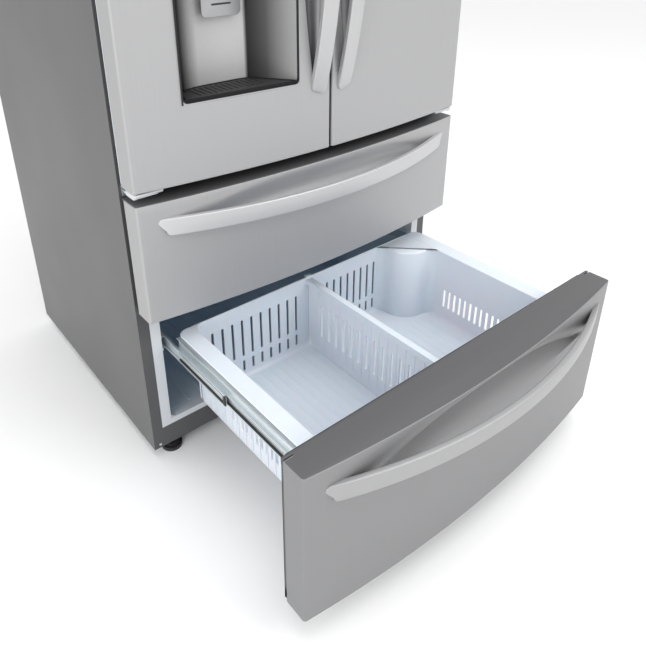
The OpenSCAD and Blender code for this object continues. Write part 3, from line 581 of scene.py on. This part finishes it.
def door_handle(body):
    """A door's upright strap, with slanted ends."""
    node = body + "_handle"
    x = node_box(node)[0]
    out = STRAP_OUT - STRAP_PROUD
    radius = (STRAP_HALF ** 2 + out ** 2) / (2 * out)
    inner = 0 if abs(x[0]) < abs(x[1]) else 1

    def to_point(along, depth, across, share):
        slant = -7.0 * abs(share - inner) * (1 if along > 0 else -1) * (abs(along) / STRAP_HALF) ** 8
        along = along + slant if abs(along + slant) <= STRAP_HALF - 1 else along
        angle = math.asin(along / radius)
        y = radius - FRONT_MID - STRAP_OUT - (radius - depth) * math.cos(angle) + 3.2 * abs(share - inner)
        return (across, y, HANDLE_MID + (radius - depth) * math.sin(angle))

    handle(body + "_strap", node, STRAP_HALF, x, to_point, "door_handle_steel", body)


drawer_handle("upper", "handle_steel", 0.0)
# The lower strap gets the darker copy of the handle steel, as painted shade
drawer_handle("lower", "handle_steel_painted_shade", PULLED)
door_handle("left_door")
door_handle("right_door")


# ------------------------------------------------------------------ caps and inner trays

CAP_INSET = 1.4
CAP_CORNER = 6.0
CAP_BACK = SKIN_BACK + 9.0
TRAY_BORDER = 38


def bowed_cap(x, z, back):
    """A plate under the bowed front, with rounded front corners."""
    def corner(cx, start):
        return [(cx + CAP_CORNER * math.cos(math.radians(start - 15 * k)),
                 bow_y(cx) + CAP_INSET + CAP_CORNER - CAP_CORNER * math.sin(math.radians(start - 15 * k)))
                for k in range(7)]

    outline = corner(x[0] + CAP_CORNER, 180)
    for k in range(1, 40):
        px = x[0] + CAP_CORNER + (x[1] - x[0] - 2 * CAP_CORNER) * k / 40
        outline.append((px, bow_y(px) + CAP_INSET))
    outline += corner(x[1] - CAP_CORNER, 90) + [(x[1], back), (x[0], back)]
    return join_rings([[(px, py, h) for px, py in outline] for h in z])


def drawer_caps(label, z, pulled):
    """Top and bottom caps of a drawer front with the inner tray and its raised border."""
    body = label + "_drawer"
    x = (-HALF + CAP_INSET, HALF - CAP_INSET)
    caps = combined([bowed_cap(x, (z[1] - 4.0, z[1]), CAP_BACK), bowed_cap(x, (z[0], z[0] + 3.0), SKIN_BACK)])
    cap = add_piece(body + "_end_caps", caps, "dark_plastic", body, "dark_plastic",
                    replaces=[body + "_caps"], bevel=0.7, pulled=pulled)
    notches = [((mid - 12, mid + 12), (SKIN_BACK - 2, SKIN_BACK + 2.5), (z[1] - 5, z[1] + 1))
               for mid in (-(HALF - 9), HALF - 9)]
    cut(cap, notches, "z", 1.2, pulled)
    inner = (-HALF + 3, HALF - 3)
    y = (SKIN_BACK, CAP_BACK)
    tray_z = (z[0] + 1, z[1] - 4)
    add_boxes(body + "_inner_tray",
              [(inner, (SKIN_BACK, SKIN_BACK + 3), tray_z),
               (inner, y, (tray_z[0], z[0] + 26)),
               (inner, y, (z[1] - 30, tray_z[1])),
               ((inner[0], inner[0] + TRAY_BORDER), y, tray_z),
               ((inner[1] - TRAY_BORDER, inner[1]), y, tray_z)],
              "dark_plastic", body, "dark_plastic", pulled=pulled)
    add_boxes(body + "_inner_panel",
              [((inner[0] + 42, inner[1] - 42), (SKIN_BACK + 3, SKIN_BACK + 6), (z[0] + 32, z[1] - 36))],
              "liner_plastic", body, "liner_plastic", bevel=2.0, pulled=pulled)


drawer_caps("upper", UPPER_Z, 0.0)
drawer_caps("lower", LOWER_Z, PULLED)

for side, body in ((1, "left_door"), (-1, "right_door")):
    span = (-HALF + CAP_INSET, -DOOR_GAP / 2 - CAP_INSET)
    points, faces = combined([bowed_cap(span, z, CAP_BACK)
                              for z in ((DOOR_Z[0], DOOR_Z[0] + 3.0), (DOOR_Z[1] - 3.0, DOOR_Z[1]))])
    shape = ([(side * x, y, z) for x, y, z in points], faces)
    add_piece(body + "_end_caps", shape, "dark_plastic", body, "dark_plastic", replaces=[body + "_caps"],
              bevel=0.6)


# ------------------------------------------------------------------ baskets

# How far a basket's rim reaches beyond its wall, the tub's radii and the slots' corners
RIM_REACH = 37
TUB_CORNER = 26.0
TUB_FOOT = 14.0
SLOT_R = 2.6


def tub(name, node, body, pulled):
    """Moulded basket: rounded corners and foot, and a rim with a turned-down lip."""
    (_, rim_half), (y0, y1), (z0, z1) = node_box(node)
    y = (y0 + pulled, y1 + pulled)
    wall = rim_half - RIM_REACH
    rings = []

    def wall_ring(inset, z):
        corner = max(TUB_CORNER - inset * 0.6, 3.0)
        outline = rounded_rect((-wall + inset, wall - inset), (y[0] + inset, y[1] - inset), corner, 6)
        rings.append([(px, py, z) for px, py in outline])

    def rim_ring(inset, z):
        outline = rounded_rect((-rim_half + inset, rim_half - inset), y, 20.0, 6)
        rings.append([(px, py, z) for px, py in outline])

    for a in turn(22.5, 0, 4):
        wall_ring(TUB_FOOT * (1 - math.sin(a)), z0 + TUB_FOOT * (1 - math.cos(a)))
    wall_ring(0.0, z1 - 5)
    rim_ring(2, z1 - 4.0)
    rim_ring(0, z1 - 1.5)
    rim_ring(2, z1)
    wall_ring(1.2, z1)
    wall_ring(2.6, z1 - 1.2)
    wall_ring(3.0, z1 - 4)
    for a in reversed(turn(22.5, 0, 4)):
        wall_ring(3 + (TUB_FOOT - 1) * (1 - math.sin(a)), z0 + 3 + (TUB_FOOT - 1) * (1 - math.cos(a)))
    return add_piece(name, join_rings(rings), "basket_plastic", body, "clear_plastic", replaces=[node],
                     pulled=pulled, sharp=50)


(_, LB_RIM), LB_Y, LB_Z = node_box("lower_drawer_basket")
LB_Y = (LB_Y[0] + PULLED, LB_Y[1] + PULLED)
LB_HALF = LB_RIM - RIM_REACH
FLOOR_RIB_Z = (LB_Z[0] + 2, LB_Z[0] + 3.4)
lower_basket = tub("lower_basket_tub", "lower_drawer_basket", "lower_drawer", PULLED)
rear_slots = []
for first, pitch in ((-297, 27), (24, 24)):
    for k in range(10):
        x = first + pitch * k
        for z in ((213, 317), (168, 200)):
            rear_slots.append(((x - 3.5, x + 3.5), (LB_Y[1] - 9, LB_Y[1] + 2), z))
cut(lower_basket, rear_slots, "y", SLOT_R, PULLED)
side_slots = [((side * LB_HALF - 6, side * LB_HALF + 6), (130 + 17.7 * k, 138 + 17.7 * k), (195, 249))
              for side in (-1, 1) for k in range(11)]
cut(lower_basket, side_slots, "x", SLOT_R, PULLED)
IN_BASKET = ("lower_drawer", "clear_plastic")
add_boxes("lower_basket_ribs",
          mirrored([((-LB_HALF - 1.6, -LB_HALF + 0.5), (24 + 26.5 * k, 27 + 26.5 * k),
                     (LB_Z[0] + 16, LB_Z[1] - 16)) for k in range(17)]),
          "rib_plastic", *IN_BASKET, pulled=PULLED, bevel=0.6)
add_boxes("lower_basket_floor_ribs",
          [((-300 + 24 * k, -294 + 24 * k), (20, LB_Y[1] - 22), FLOOR_RIB_Z) for k in range(12)]
          + [((14 + 24 * k, 20 + 24 * k), (20, 355), FLOOR_RIB_Z) for k in range(13)],
          "basket_plastic", *IN_BASKET, pulled=PULLED)

# Plan of the hump in the basket's rear right corner: a big round bulge between two small fillets
HUMP_FILLET = 25
HUMP_R = 70
HUMP_X = 317
HUMP_SIDE = 343.5
HUMP_BACK = LB_Y[1] - 2
HUMP_Y = LB_Y[1] - 28
HUMP_FRONT = LB_Y[1] - 123
hump = [(222.0, HUMP_BACK)]
hump += [(222 + HUMP_FILLET * math.sin(a), HUMP_Y + HUMP_FILLET * math.cos(a)) for a in turn(15, 1, 6)]
hump += [(HUMP_X - HUMP_R * math.cos(a), HUMP_Y - HUMP_R * math.sin(a)) for a in turn(9, 1, 10)]
hump += [(HUMP_X + HUMP_FILLET * math.sin(a), HUMP_FRONT + HUMP_FILLET * math.cos(a)) for a in turn(15, 1, 6)]
hump += [(HUMP_SIDE, HUMP_FRONT), (HUMP_SIDE, HUMP_BACK)]
rings = []
for rounded, z in ((0.0, FLOOR_RIB_Z[0]), (0.0, LB_Z[1] - 6), (1.2, LB_Z[1] - 2.5), (4.0, LB_Z[1] - 0.6)):
    inset = rounded * 0.7
    rings.append([(x + (inset if x < HUMP_SIDE - 0.5 else 0), y + (inset if y < HUMP_BACK - 0.5 else 0), z)
                  for x, y in hump])
add_piece("lower_basket_hump", join_rings(rings), "basket_plastic", *IN_BASKET, pulled=PULLED, sharp=50)

tub("upper_basket_tub", "upper_drawer_basket", "upper_drawer", 0.0)

# Divider: a slotted wall with a broad rim, and a rounded rear foot that follows the basket
DV = node_box("basket_divider")
DV_X = (DV[0][0] + DV[0][1]) / 2
DV_Y = (DV[1][0] + PULLED + 3, DV[1][1] + PULLED - 4)
DV_Z = (DV[2][0], DV[2][1] - 9)
ON_DIVIDER = ("divider", "clear_plastic")
side_view = [(DV_Y[0] + 3, DV_Z[1]), (DV_Y[0] + 3, DV_Z[0] + 30)]
side_view += [(DV_Y[0] + 33 - 30 * math.cos(a), DV_Z[0] + 30 - 30 * math.sin(a)) for a in turn(15, 1, 6)]
side_view += [(DV_Y[1] - 42 + 38 * math.sin(a), DV_Z[0] + 38 - 38 * math.cos(a)) for a in turn(15, 0, 6)]
side_view += [(DV_Y[1] - 4, DV_Z[1])]
wall = join_rings([[(DV_X + dx, y, z) for y, z in side_view] for dx in (-2.0, 2.0)])
divider = add_piece("divider_wall", wall, "basket_plastic", *ON_DIVIDER, replaces=["basket_divider"],
                    pulled=PULLED)
cut(divider, [((DV_X - 4, DV_X + 4), (26.5 + 27 * k, 33.5 + 27 * k), (205, 300)) for k in range(15)],
    "x", SLOT_R, PULLED)
foot = side_view[1:-1]
foot += [(y + (3.5 if y < 200 else -3.5), z + (3.5 if z < DV_Z[0] + 20 else 1.5)) for y, z in reversed(foot)]
add_piece("divider_foot", join_rings([[(DV_X + dx, y, z) for y, z in foot] for dx in (-3.2, 3.2)]),
          "rib_plastic", *ON_DIVIDER, pulled=PULLED)
rim_x = (DV_X - 8, DV_X + 8)
rear, near, rim_z = DV_Y[1], DV_Y[0], DV_Z[1]
add_boxes("divider_rim",
          [(rim_x, DV_Y, (rim_z - 2, rim_z + 1.5)),
           ((rim_x[0], DV_X - 5.6), DV_Y, (rim_z - 14, rim_z)),
           ((DV_X + 5.6, rim_x[1]), DV_Y, (rim_z - 14, rim_z)),
           (rim_x, (rear - 3, rear + 4), (rim_z + 6.5, rim_z + 9)),
           (rim_x, (rear + 1.5, rear + 4), (rim_z - 3, rim_z + 9)),
           (rim_x, (rear - 4, rear), (rim_z - 4, rim_z + 9)),
           (rim_x, (near - 3, near + 5), (rim_z + 6.5, rim_z + 9)),
           (rim_x, (near, near + 4), (rim_z - 4, rim_z + 9))]
          + [((DV_X - 3.4, DV_X + 3.4), (16 + 27 * k, 19 + 27 * k), (DV_Z[0] + 20, rim_z - 4))
             for k in range(16)],
          "basket_plastic", *ON_DIVIDER, pulled=PULLED, bevel=0.9)


# ------------------------------------------------------------------ telescopic slides

def channel(web, open_to, z, sheet=1.2, lip=2.4):
    """Section of a rolled C channel: web at one X, its flanges reaching to the other."""
    way = 1 if open_to > web else -1
    inside, fold = web + way * sheet, open_to - way * sheet
    low, high = z
    return [(web, low), (open_to, low), (open_to, low + lip), (fold, low + lip), (fold, low + sheet),
            (inside, low + sheet), (inside, high - sheet), (fold, high - sheet), (fold, high - lip),
            (open_to, high - lip), (open_to, high), (web, high)]


def rails(name, sections, y, body, replaces, pulled=0.0):
    """Rolled sections run along Y, with their twins on the other side."""
    shape = combined([join_rings([[(side * x, depth, z) for x, z in section] for depth in y])
                      for section in sections for side in (1, -1)])
    add_piece(name, shape, "zinc_steel", body, "zinc_steel", replaces=replaces, pulled=pulled, bevel=0.25,
              segments=1)


def plate(x, z):
    """Section of a flat strip."""
    return [(x[0], z[0]), (x[1], z[0]), (x[1], z[1]), (x[0], z[1])]


SLIDE_END = 455
CABINET_RAIL_X = (-403.6, -396.4)


def slide_set(label, pulled):
    """Drawer member, middle member and ball cages of the slides on both sides of a drawer."""
    z0, z1 = node_box(label + "_mid_slides")[2]
    hook_z = node_box(label + "_drawer_basket")[2][1] - 5.6
    drawer, member = label + "_drawer", label + "_mid_member"
    rails(label + "_drawer_members",
          [channel(-383.5, -389.6, (z0 + 3, z1 - 3)), plate((-389.6, -355), (hook_z - 1.4, hook_z)),
           plate((-384.7, -383.5), (z1 - 5, hook_z)), plate((-356.2, -355), (hook_z - 6.4, hook_z))],
          (CAP_BACK, SLIDE_END), drawer, [label + "_drawer_slides"], pulled)
    rails(label + "_mid_members",
          [channel(-390.2, -395.5, (z0 + 1, z1 - 1)), plate((-391.6, -390.0), (z0 + 9, z0 + 12)),
           plate((-391.6, -390.0), (z1 - 12, z1 - 9))],
          (5, SLIDE_END), member, [label + "_mid_slides"], pulled / 2)
    add_boxes(label + "_mid_cages",
              mirrored([((-394.6, -391.0), (9, 190), (z0 + 3.4, z0 + 7.4)),
                        ((-394.6, -391.0), (9, 190), (z1 - 7.4, z1 - 3.4)),
                        ((-395.3, -390.2), (5.5, 12), (z0 + 1.4, z1 - 1.4))]),
              "black_plastic", member, "zinc_steel", pulled=pulled / 2, bevel=0.4)
    add_boxes(label + "_drawer_cages",
              mirrored([((-388.6, -385.4), (SKIN_BACK + 12, 450), (z0 + 5.2, z0 + 8.0)),
                        ((-388.6, -385.4), (SKIN_BACK + 12, 450), (z1 - 8.0, z1 - 5.2))]),
              "black_plastic", drawer, "zinc_steel", pulled=pulled, bevel=0.4)


slide_set("lower", PULLED)
slide_set("upper", 0.0)
RAIL_Z = [node_box(label + "_mid_slides")[2] for label in ("lower", "upper")]
rails("cabinet_slide_members", [channel(*CABINET_RAIL_X, z) for z in RAIL_Z], (5, SLIDE_END), "cabinet",
      ["slide_rails"])
add_boxes("slide_housings",
          mirrored([((-404, -400), (9, 49), (z[0] - 33, z[0] - 1)) for z in RAIL_Z]
                   + [((-404, -396.6), (9, 49), (z[0] - 9, z[0] - 1)) for z in RAIL_Z]),
          "liner_plastic", "cabinet", "zinc_steel", bevel=1.2)
add_boxes("slide_screws",
          mirrored([((-400.6, -399.4), (y, y + 7), (z[0] - 24, z[0] - 17))
                    for z in RAIL_Z for y in (16, 34)]),
          "black_plastic", "cabinet", "zinc_steel", bevel=0.4)

# Rounded inner corners of the compartments: how deep, how far the liner's box is from its floor and
# roof, and the radius
for label, node, y, under, over, soft, mat in (
        ("freezer", "freezer_liner", (2, 474), 15, 8, 16, "freezer_wall"),
        ("drawer", "drawer_liner", (2, 519), 3, 3, 8, "liner_plastic"),
        ("fridge", "fridge_liner", (2, 671), 3, 3, 8, "liner_plastic")):
    low = node_box(node)[2][0] + under
    high = node_box(node)[2][1] - over
    shapes = []
    for side in (-1, 1):
        for edge, up in ((low, 1), (high, -1)):
            arc = [(side * 404, edge)]
            arc += [(side * (404 - soft + soft * math.sin(a)), edge + up * (soft - soft * math.cos(a)))
                    for a in turn(15, 0, 6)]
            shapes.append(join_rings([[(x, depth, z) for x, z in arc] for depth in y]))
    add_piece(label + "_corners", combined(shapes), mat, "cabinet", "liner_plastic")
add_boxes("freezer_floor_ribs", [((-380 + 40 * k, -372 + 40 * k), (30, 440), (99, 101.2)) for k in range(20)],
          "freezer_wall", "cabinet", "liner_plastic")


# ------------------------------------------------------------------ dispenser

LEFT, RIGHT = DISP_X
SILL = DISP_Z[0]
RECESS_TOP = SILL + 330
TRIM_W = 3.2
ON_DOOR = ("left_door", "dispenser_plastic")
inner_edge = rounded_rect((LEFT + TRIM_W, RIGHT - TRIM_W), (SILL + TRIM_W, DISP_Z[1] - TRIM_W), 9.0, 6)
outer_edge = rounded_rect(DISP_X, DISP_Z, 0.6, 6)


def trim(name, mat, outside, inside, proud, sunk, depth):
    """A frame round the dispenser; outside and inside are its edges' places, from the inner edge outwards."""
    rings = []
    for (xi, zi), (xo, zo) in zip(inner_edge, outer_edge):
        xa, za = xi + (xo - xi) * outside, zi + (zo - zi) * outside
        xb, zb = xi + (xo - xi) * inside, zi + (zo - zi) * inside
        rings.append([(xa, bow_y(xa) - proud, za), (xb, bow_y(xb) + sunk, zb), (xb, bow_y(xb) + depth, zb),
                      (xa, bow_y(xa) + depth, za)])
    add_piece(name, join_rings(rings, closed_loop=True), mat, *ON_DOOR, sharp=30)


trim("dispenser_trim", "dispenser_plastic", 1, 0, 0.7, -0.4, 9)
trim("dispenser_trim_seam", "black_plastic", 0.35, -0.25, 0.5, 0.2, 7)

# Plan of the recess wall, from its left front edge round the back to its right front edge
WALL_PLAN = [(LEFT + 3, -86), (LEFT + 4, -76), (LEFT + 7, -62), (LEFT + 13, -47), (LEFT + 22, -33),
             (LEFT + 34, -21), (LEFT + 48, -13), (LEFT + 64, -9), (LEFT + 80, -8), (RIGHT - 90, -8),
             (RIGHT - 70, -8.4), (RIGHT - 66, -10), (RIGHT - 60, -19), (RIGHT - 51, -33),
             (RIGHT - 40, -48), (RIGHT - 28, -63), (RIGHT - 16, -78), (RIGHT - 7, -90), (RIGHT - 3, -97)]
BACK_PLAN = [(x + (-2.6 if x < LEFT + 40 else 2.6 if x > RIGHT - 68 else 0),
              y + (2.2 if LEFT + 12 < x < RIGHT - 30 else 0)) for x, y in WALL_PLAN]
section = WALL_PLAN + list(reversed(BACK_PLAN))
rings = [[(x, y, z) for x, y in section] for z in (SILL + 2, RECESS_TOP)]
points, faces = join_rings(rings, closed_ends=False)
size = len(WALL_PLAN)
for level in (0, 2 * size):
    for k in range(size - 1):
        faces.append((level + k, level + k + 1, level + 2 * size - 2 - k, level + 2 * size - 1 - k))
add_piece("dispenser_recess", (points, faces), "recess_wall", *ON_DOOR, replaces=["dispenser_housing"],
          sharp=24)


def plan_plate(outline, z):
    """A flat piece with an outline seen from above."""
    return join_rings([[(x, y, h) for x, y in outline] for h in z])


outline = [(LEFT + 2.5, bow_y(LEFT) + 5)] + WALL_PLAN[1:-1] + [(RIGHT - 2.5, bow_y(RIGHT) + 5)]
for label, z, mat in (("ceiling", (RECESS_TOP - 1, RECESS_TOP + 4), "dispenser_plastic"),
                      ("sill", (SILL + 0.4, SILL + 4.2), "shadow_plastic")):
    add_piece("dispenser_" + label, plan_plate(outline, z), mat, *ON_DOOR)

face_x = [LEFT + 4 + (RIGHT - LEFT - 8) * k / 12 for k in range(13)]
outline = [(x, bow_y(x) + 0.6) for x in face_x] + [(x, bow_y(x) + 12) for x in reversed(face_x)]
add_piece("dispenser_control_face", plan_plate(outline, (RECESS_TOP + 5, DISP_Z[1] - 4)), "display", *ON_DOOR,
          bevel=1.0)
keys = []
for first, width, pitch, height, count in ((30, 16, 34, 26, 7), (60, 24, 62, 70, 3)):
    for k in range(count):
        x = LEFT + first + pitch * k
        y = bow_y(x + width / 2)
        keys.append(((x, x + width), (y + 0.1, y + 3), (RECESS_TOP + height, RECESS_TOP + height + 3)))
add_boxes("dispenser_keys", keys, "lamp", *ON_DOOR, bevel=0.5)
disc("dispenser_spout", (-212, -44, RECESS_TOP - 24), "z",
     [(18, 0), (23, 0), (24, 1.5), (24, 10), (30, 22), (30, 26), (20, 26), (18, 4)], "dark_plastic", *ON_DOOR)
add_boxes("dispenser_nozzle_block",
          [((-262, -162), (-66, -14), (RECESS_TOP - 10, RECESS_TOP)),
           ((-222, -202), (-52, -36), (RECESS_TOP - 40, RECESS_TOP - 8))],
          "dark_plastic", *ON_DOOR, bevel=3.0)

tray_plan = [(LEFT + 6, -80), (LEFT + 14, -52), (LEFT + 26, -34), (LEFT + 44, -20), (LEFT + 66, -13),
             (LEFT + 92, -11), (RIGHT - 96, -11), (RIGHT - 76, -14), (RIGHT - 62, -24), (RIGHT - 44, -46),
             (RIGHT - 24, -74), (RIGHT - 9, -94)]
front_x = [LEFT + 6 + (RIGHT - LEFT - 15) * k / 8 for k in range(8, -1, -1)]
tray_plan += [(x, bow_y(x) + 3) for x in front_x]
TRAY_MIDDLE = (-214.0, -50.0)


def tray_ring(inset, height):
    """The tray's outline drawn in towards its middle, at a height above the sill."""
    ring = []
    for x, y in tray_plan:
        inwards = Vector((TRAY_MIDDLE[0] - x, TRAY_MIDDLE[1] - y))
        inwards.normalize()
        ring.append((x + inwards.x * inset, y + inwards.y * inset, SILL + height))
    return ring


dish = join_rings([tray_ring(0, 4.2), tray_ring(0, 11), tray_ring(3.5, 11), tray_ring(5, 8.4)])
add_piece("drip_tray_dish", dish, "shadow_plastic", "left_door", "dark_plastic", replaces=["drip_tray"])
grille = add_piece("drip_tray_grille", join_rings([tray_ring(7, 8), tray_ring(7, 10)]), "tray_plastic",
                   "left_door", "dark_plastic", bevel=0.5)
cut(grille, [((-300 + 12 * k, -296 + 12 * k), (-72, -24), (SILL + 8.8, SILL + 12)) for k in range(13)],
    "z", 1.2)

PADDLE_TOP = node_box("dispenser_paddle")[2][1]
PAD_X = (-256, -168)
PAD_Z = (node_box("dispenser_paddle")[2][0], PADDLE_TOP - 12)
ON_PADDLE = ("paddle", "dispenser_plastic")
rings = []
for y, inset in ((-19, 1.5), (-22.5, 0.0), (-23.5, 0.4), (-24, 1.4)):
    outline = rounded_rect((PAD_X[0] + inset, PAD_X[1] - inset), (PAD_Z[0] + inset, PAD_Z[1] - inset),
                           11.0 - inset, 6)
    rings.append([(x, y, z) for x, z in outline])
add_piece("paddle_plate", join_rings(rings), "dispenser_plastic", *ON_PADDLE, replaces=["dispenser_paddle"],
          sharp=40)
mark = rounded_rect((-234, -190), (PAD_Z[0] + 22, PAD_Z[0] + 25.5), 1.7, 4)
add_piece("paddle_mark", join_rings([[(x, y, z) for x, z in mark] for y in (-24.3, -22)]), "black_plastic",
          *ON_PADDLE)
disc("paddle_hinge", (-261, -16, PADDLE_TOP - 5), "x", [(4.8, 0), (5, 0.5), (5, 97.5), (4.8, 98)],
     "dark_plastic", *ON_PADDLE, sides=20)
add_boxes("paddle_arm", [((-236, -188), (-22, -14), (PAD_Z[1] - 24, PADDLE_TOP - 5))], "dark_plastic",
          *ON_PADDLE, bevel=1.5)


# ------------------------------------------------------------------ door stops and the painted shade between the doors

STOP_Z = (DOOR_Z[0] - 11, DOOR_Z[0] - 3.5)
add_boxes("door_stop_plates",
          mirrored([((-450, -390), (-66, -44), STOP_Z),
                    ((-453, -441), (-64, -30), (DOOR_Z[0] - 14, DOOR_Z[0] - 1)),
                    ((-400, -390), (-60, -18), STOP_Z)]),
          "hinge_paint", "cabinet", "zinc_steel", bevel=3.0, segments=4)
# Painted shade: a dark strip that stands in for the shade in the gap between the doors
add_boxes("door_gap_painted_shade", [((2.2, 3.1), (-97, SKIN_BACK), (DOOR_Z[0] + 2, DOOR_Z[1] - 2))], "gasket_rubber",
          "right_door", "stainless", bevel=0.2)


# ------------------------------------------------------------------ interior trims

SHELVES_Z = (1095, 1285, 1480)
SHELF_X = (-402, -6)
shelf_trims = []
for z in SHELVES_Z:
    trim_z = (z - 1, z + 7)
    shelf_trims += mirrored([(SHELF_X, (148, 158), (z - 2, z + 8)), (SHELF_X, (636, 646), trim_z),
                             ((SHELF_X[0], SHELF_X[0] + 6), (150, 645), trim_z),
                             ((SHELF_X[1] - 6, SHELF_X[1]), (150, 645), trim_z)])
shelf_trims += [((-402, 402), (146, 158), (908, 921))]
add_boxes("shelf_trims", shelf_trims, "liner_plastic", "cabinet", "shelf_glass", bevel=1.2)
for label, x in (("left", (-280, -124)), ("right", (124, 280))):
    add_boxes("crisper_handles_" + label, [(x, (150.5, 153.5), (852, 876))], "liner_plastic",
              label + "_crisper_box", "clear_plastic", bevel=1.5)
add_boxes("fridge_lamps",
          [((-120, 120), (200, 300), (1692, 1694.5)), ((-60, 60), (668.5, 669.5), (1600, 1630))],
          "lamp", "cabinet", "liner_plastic", bevel=1.0)
for body, x, bins in (("left_door", (-381.5, -58.5), ((752, 92), (1060, 96))),
                      ("right_door", (58.5, 381.5), ((756, 92), (960, 92), (1180, 92), (1400, 92)))):
    bands = []
    for z, far in bins:
        bands += [(x, (far - 4, far), (z, z + 34)), (x, (far - 4, far), (z + 99, z + 105))]
    add_boxes(body + "_bin_bands", bands, "liner_plastic", body, "clear_plastic", bevel=1.0)
add_boxes("ice_room_lid",
          [((-368, -72), (105, 109.5), (1366, 1650)), ((-240, -200), (109, 112), (1620, 1632))],
          "liner_plastic", "left_door", "liner_plastic", bevel=2.0)


# ------------------------------------------------------------------ camera, light and floor

# The camera's place, turn and lens come from the photograph's perspective
CAMERA_AT = (-898.3, -1138.3, 1222.2)
CAMERA_YAW = -39.56
CAMERA_PITCH = -25.59
SENSOR = 36
camera_data = bpy.data.cameras.new("camera")
camera_data.lens = 656.2 * SENSOR / 646
camera_data.sensor_width = SENSOR
camera_data.shift_x = 0.011
camera_data.shift_y = -0.176
camera_data.clip_start = 0.05
camera = new_object("camera", camera_data)
camera.location = place([CAMERA_AT])[0]
camera.rotation_euler = (math.radians(90 + CAMERA_PITCH), 0, math.radians(CAMERA_YAW))
bpy.context.scene.camera = camera

floor_mesh = bpy.data.meshes.new("floor")
floor_mesh.from_pydata([(-9, -9, 0), (9, -9, 0), (9, 9, 0), (-9, 9, 0)], [], [(0, 1, 2, 3)])
floor_mesh.materials.append(MAT["floor"])
floor = new_object("floor", floor_mesh)

world = bpy.data.worlds.new("world")
bpy.context.scene.world = world
world.use_nodes = True
background = world.node_tree.nodes["Background"]
background.inputs["Color"].default_value = (1.0, 1.0, 1.0, 1.0)
background.inputs["Strength"].default_value = 1.0


def softbox(name, at, aim, size, power):
    """A rectangular light, its place, aim and size in metres."""
    light = bpy.data.lights.new(name, "AREA")
    light.shape = "RECTANGLE"
    light.size, light.size_y = size
    light.energy = power
    obj = new_object(name, light)
    obj.location = at
    obj.rotation_euler = (Vector(aim) - Vector(at)).to_track_quat("-Z", "Y").to_euler()


softbox("key", (1.6, -3.2, 3.4), (0.1, -0.2, 0.6), (2.4, 2.0), 55)
softbox("left", (-3.4, -1.6, 1.8), (0.0, -0.4, 0.8), (1.8, 2.2), 42)
softbox("overhead", (0.0, -0.6, 4.2), (0.0, -0.4, 0.0), (3.0, 3.0), 60)
bpy.context.scene.view_settings.view_transform = "Standard"


# ------------------------------------------------------------------ CAD nodes that stay

KEPT = {
    "cabinet_paint": ["cabinet_shell", "back_panel"],
    "dark_paint": ["front_frame", "bottom_rail"],
    "foam": ["insulation"],
    "liner_plastic": ["fridge_liner", "drawer_liner", "duct_cover", "ice_room",
                      "evaporator_fan", "mullion", "left_door_liner", "right_door_liner"],
    "freezer_wall": ["freezer_liner", "evaporator_cover"],
    "clear_plastic": ["left_crisper", "right_crisper", "left_door_bins", "right_door_bins"],
    "zinc_steel": ["base_pan", "hinge_brackets", "frame_screws"],
    "black_plastic": ["compressor", "condenser", "condenser_fan", "machine_cover", "cord_gland", "left_foot",
                      "right_foot", "rear_rollers"],
    "gasket_rubber": ["left_door_gasket", "right_door_gasket", "upper_drawer_gasket", "lower_drawer_gasket"],
    "dark_plastic": ["hinge_covers"],
    "shelf_glass": ["glass_shelves"],
    "brass": ["water_inlet"],
}
BEVELS = {"hinge_covers": 4.0, "cabinet_shell": 0.5, "bottom_rail": 0.8, "front_frame": 0.5,
          "hinge_brackets": 1.2, "left_crisper": 1.2, "right_crisper": 1.2, "left_door_bins": 1.2,
          "right_door_bins": 1.2, "ice_room": 3.0, "mullion": 1.5, "left_foot": 1.5, "right_foot": 1.5,
          "compressor": 2.0, "machine_cover": 0.3}
for mat, kept_nodes in KEPT.items():
    for node in kept_nodes:
        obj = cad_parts[node]
        obj.data.materials.clear()
        obj.data.materials.append(MAT[mat])
        if node in BEVELS:
            soften_edges(obj, BEVELS[node], 3)
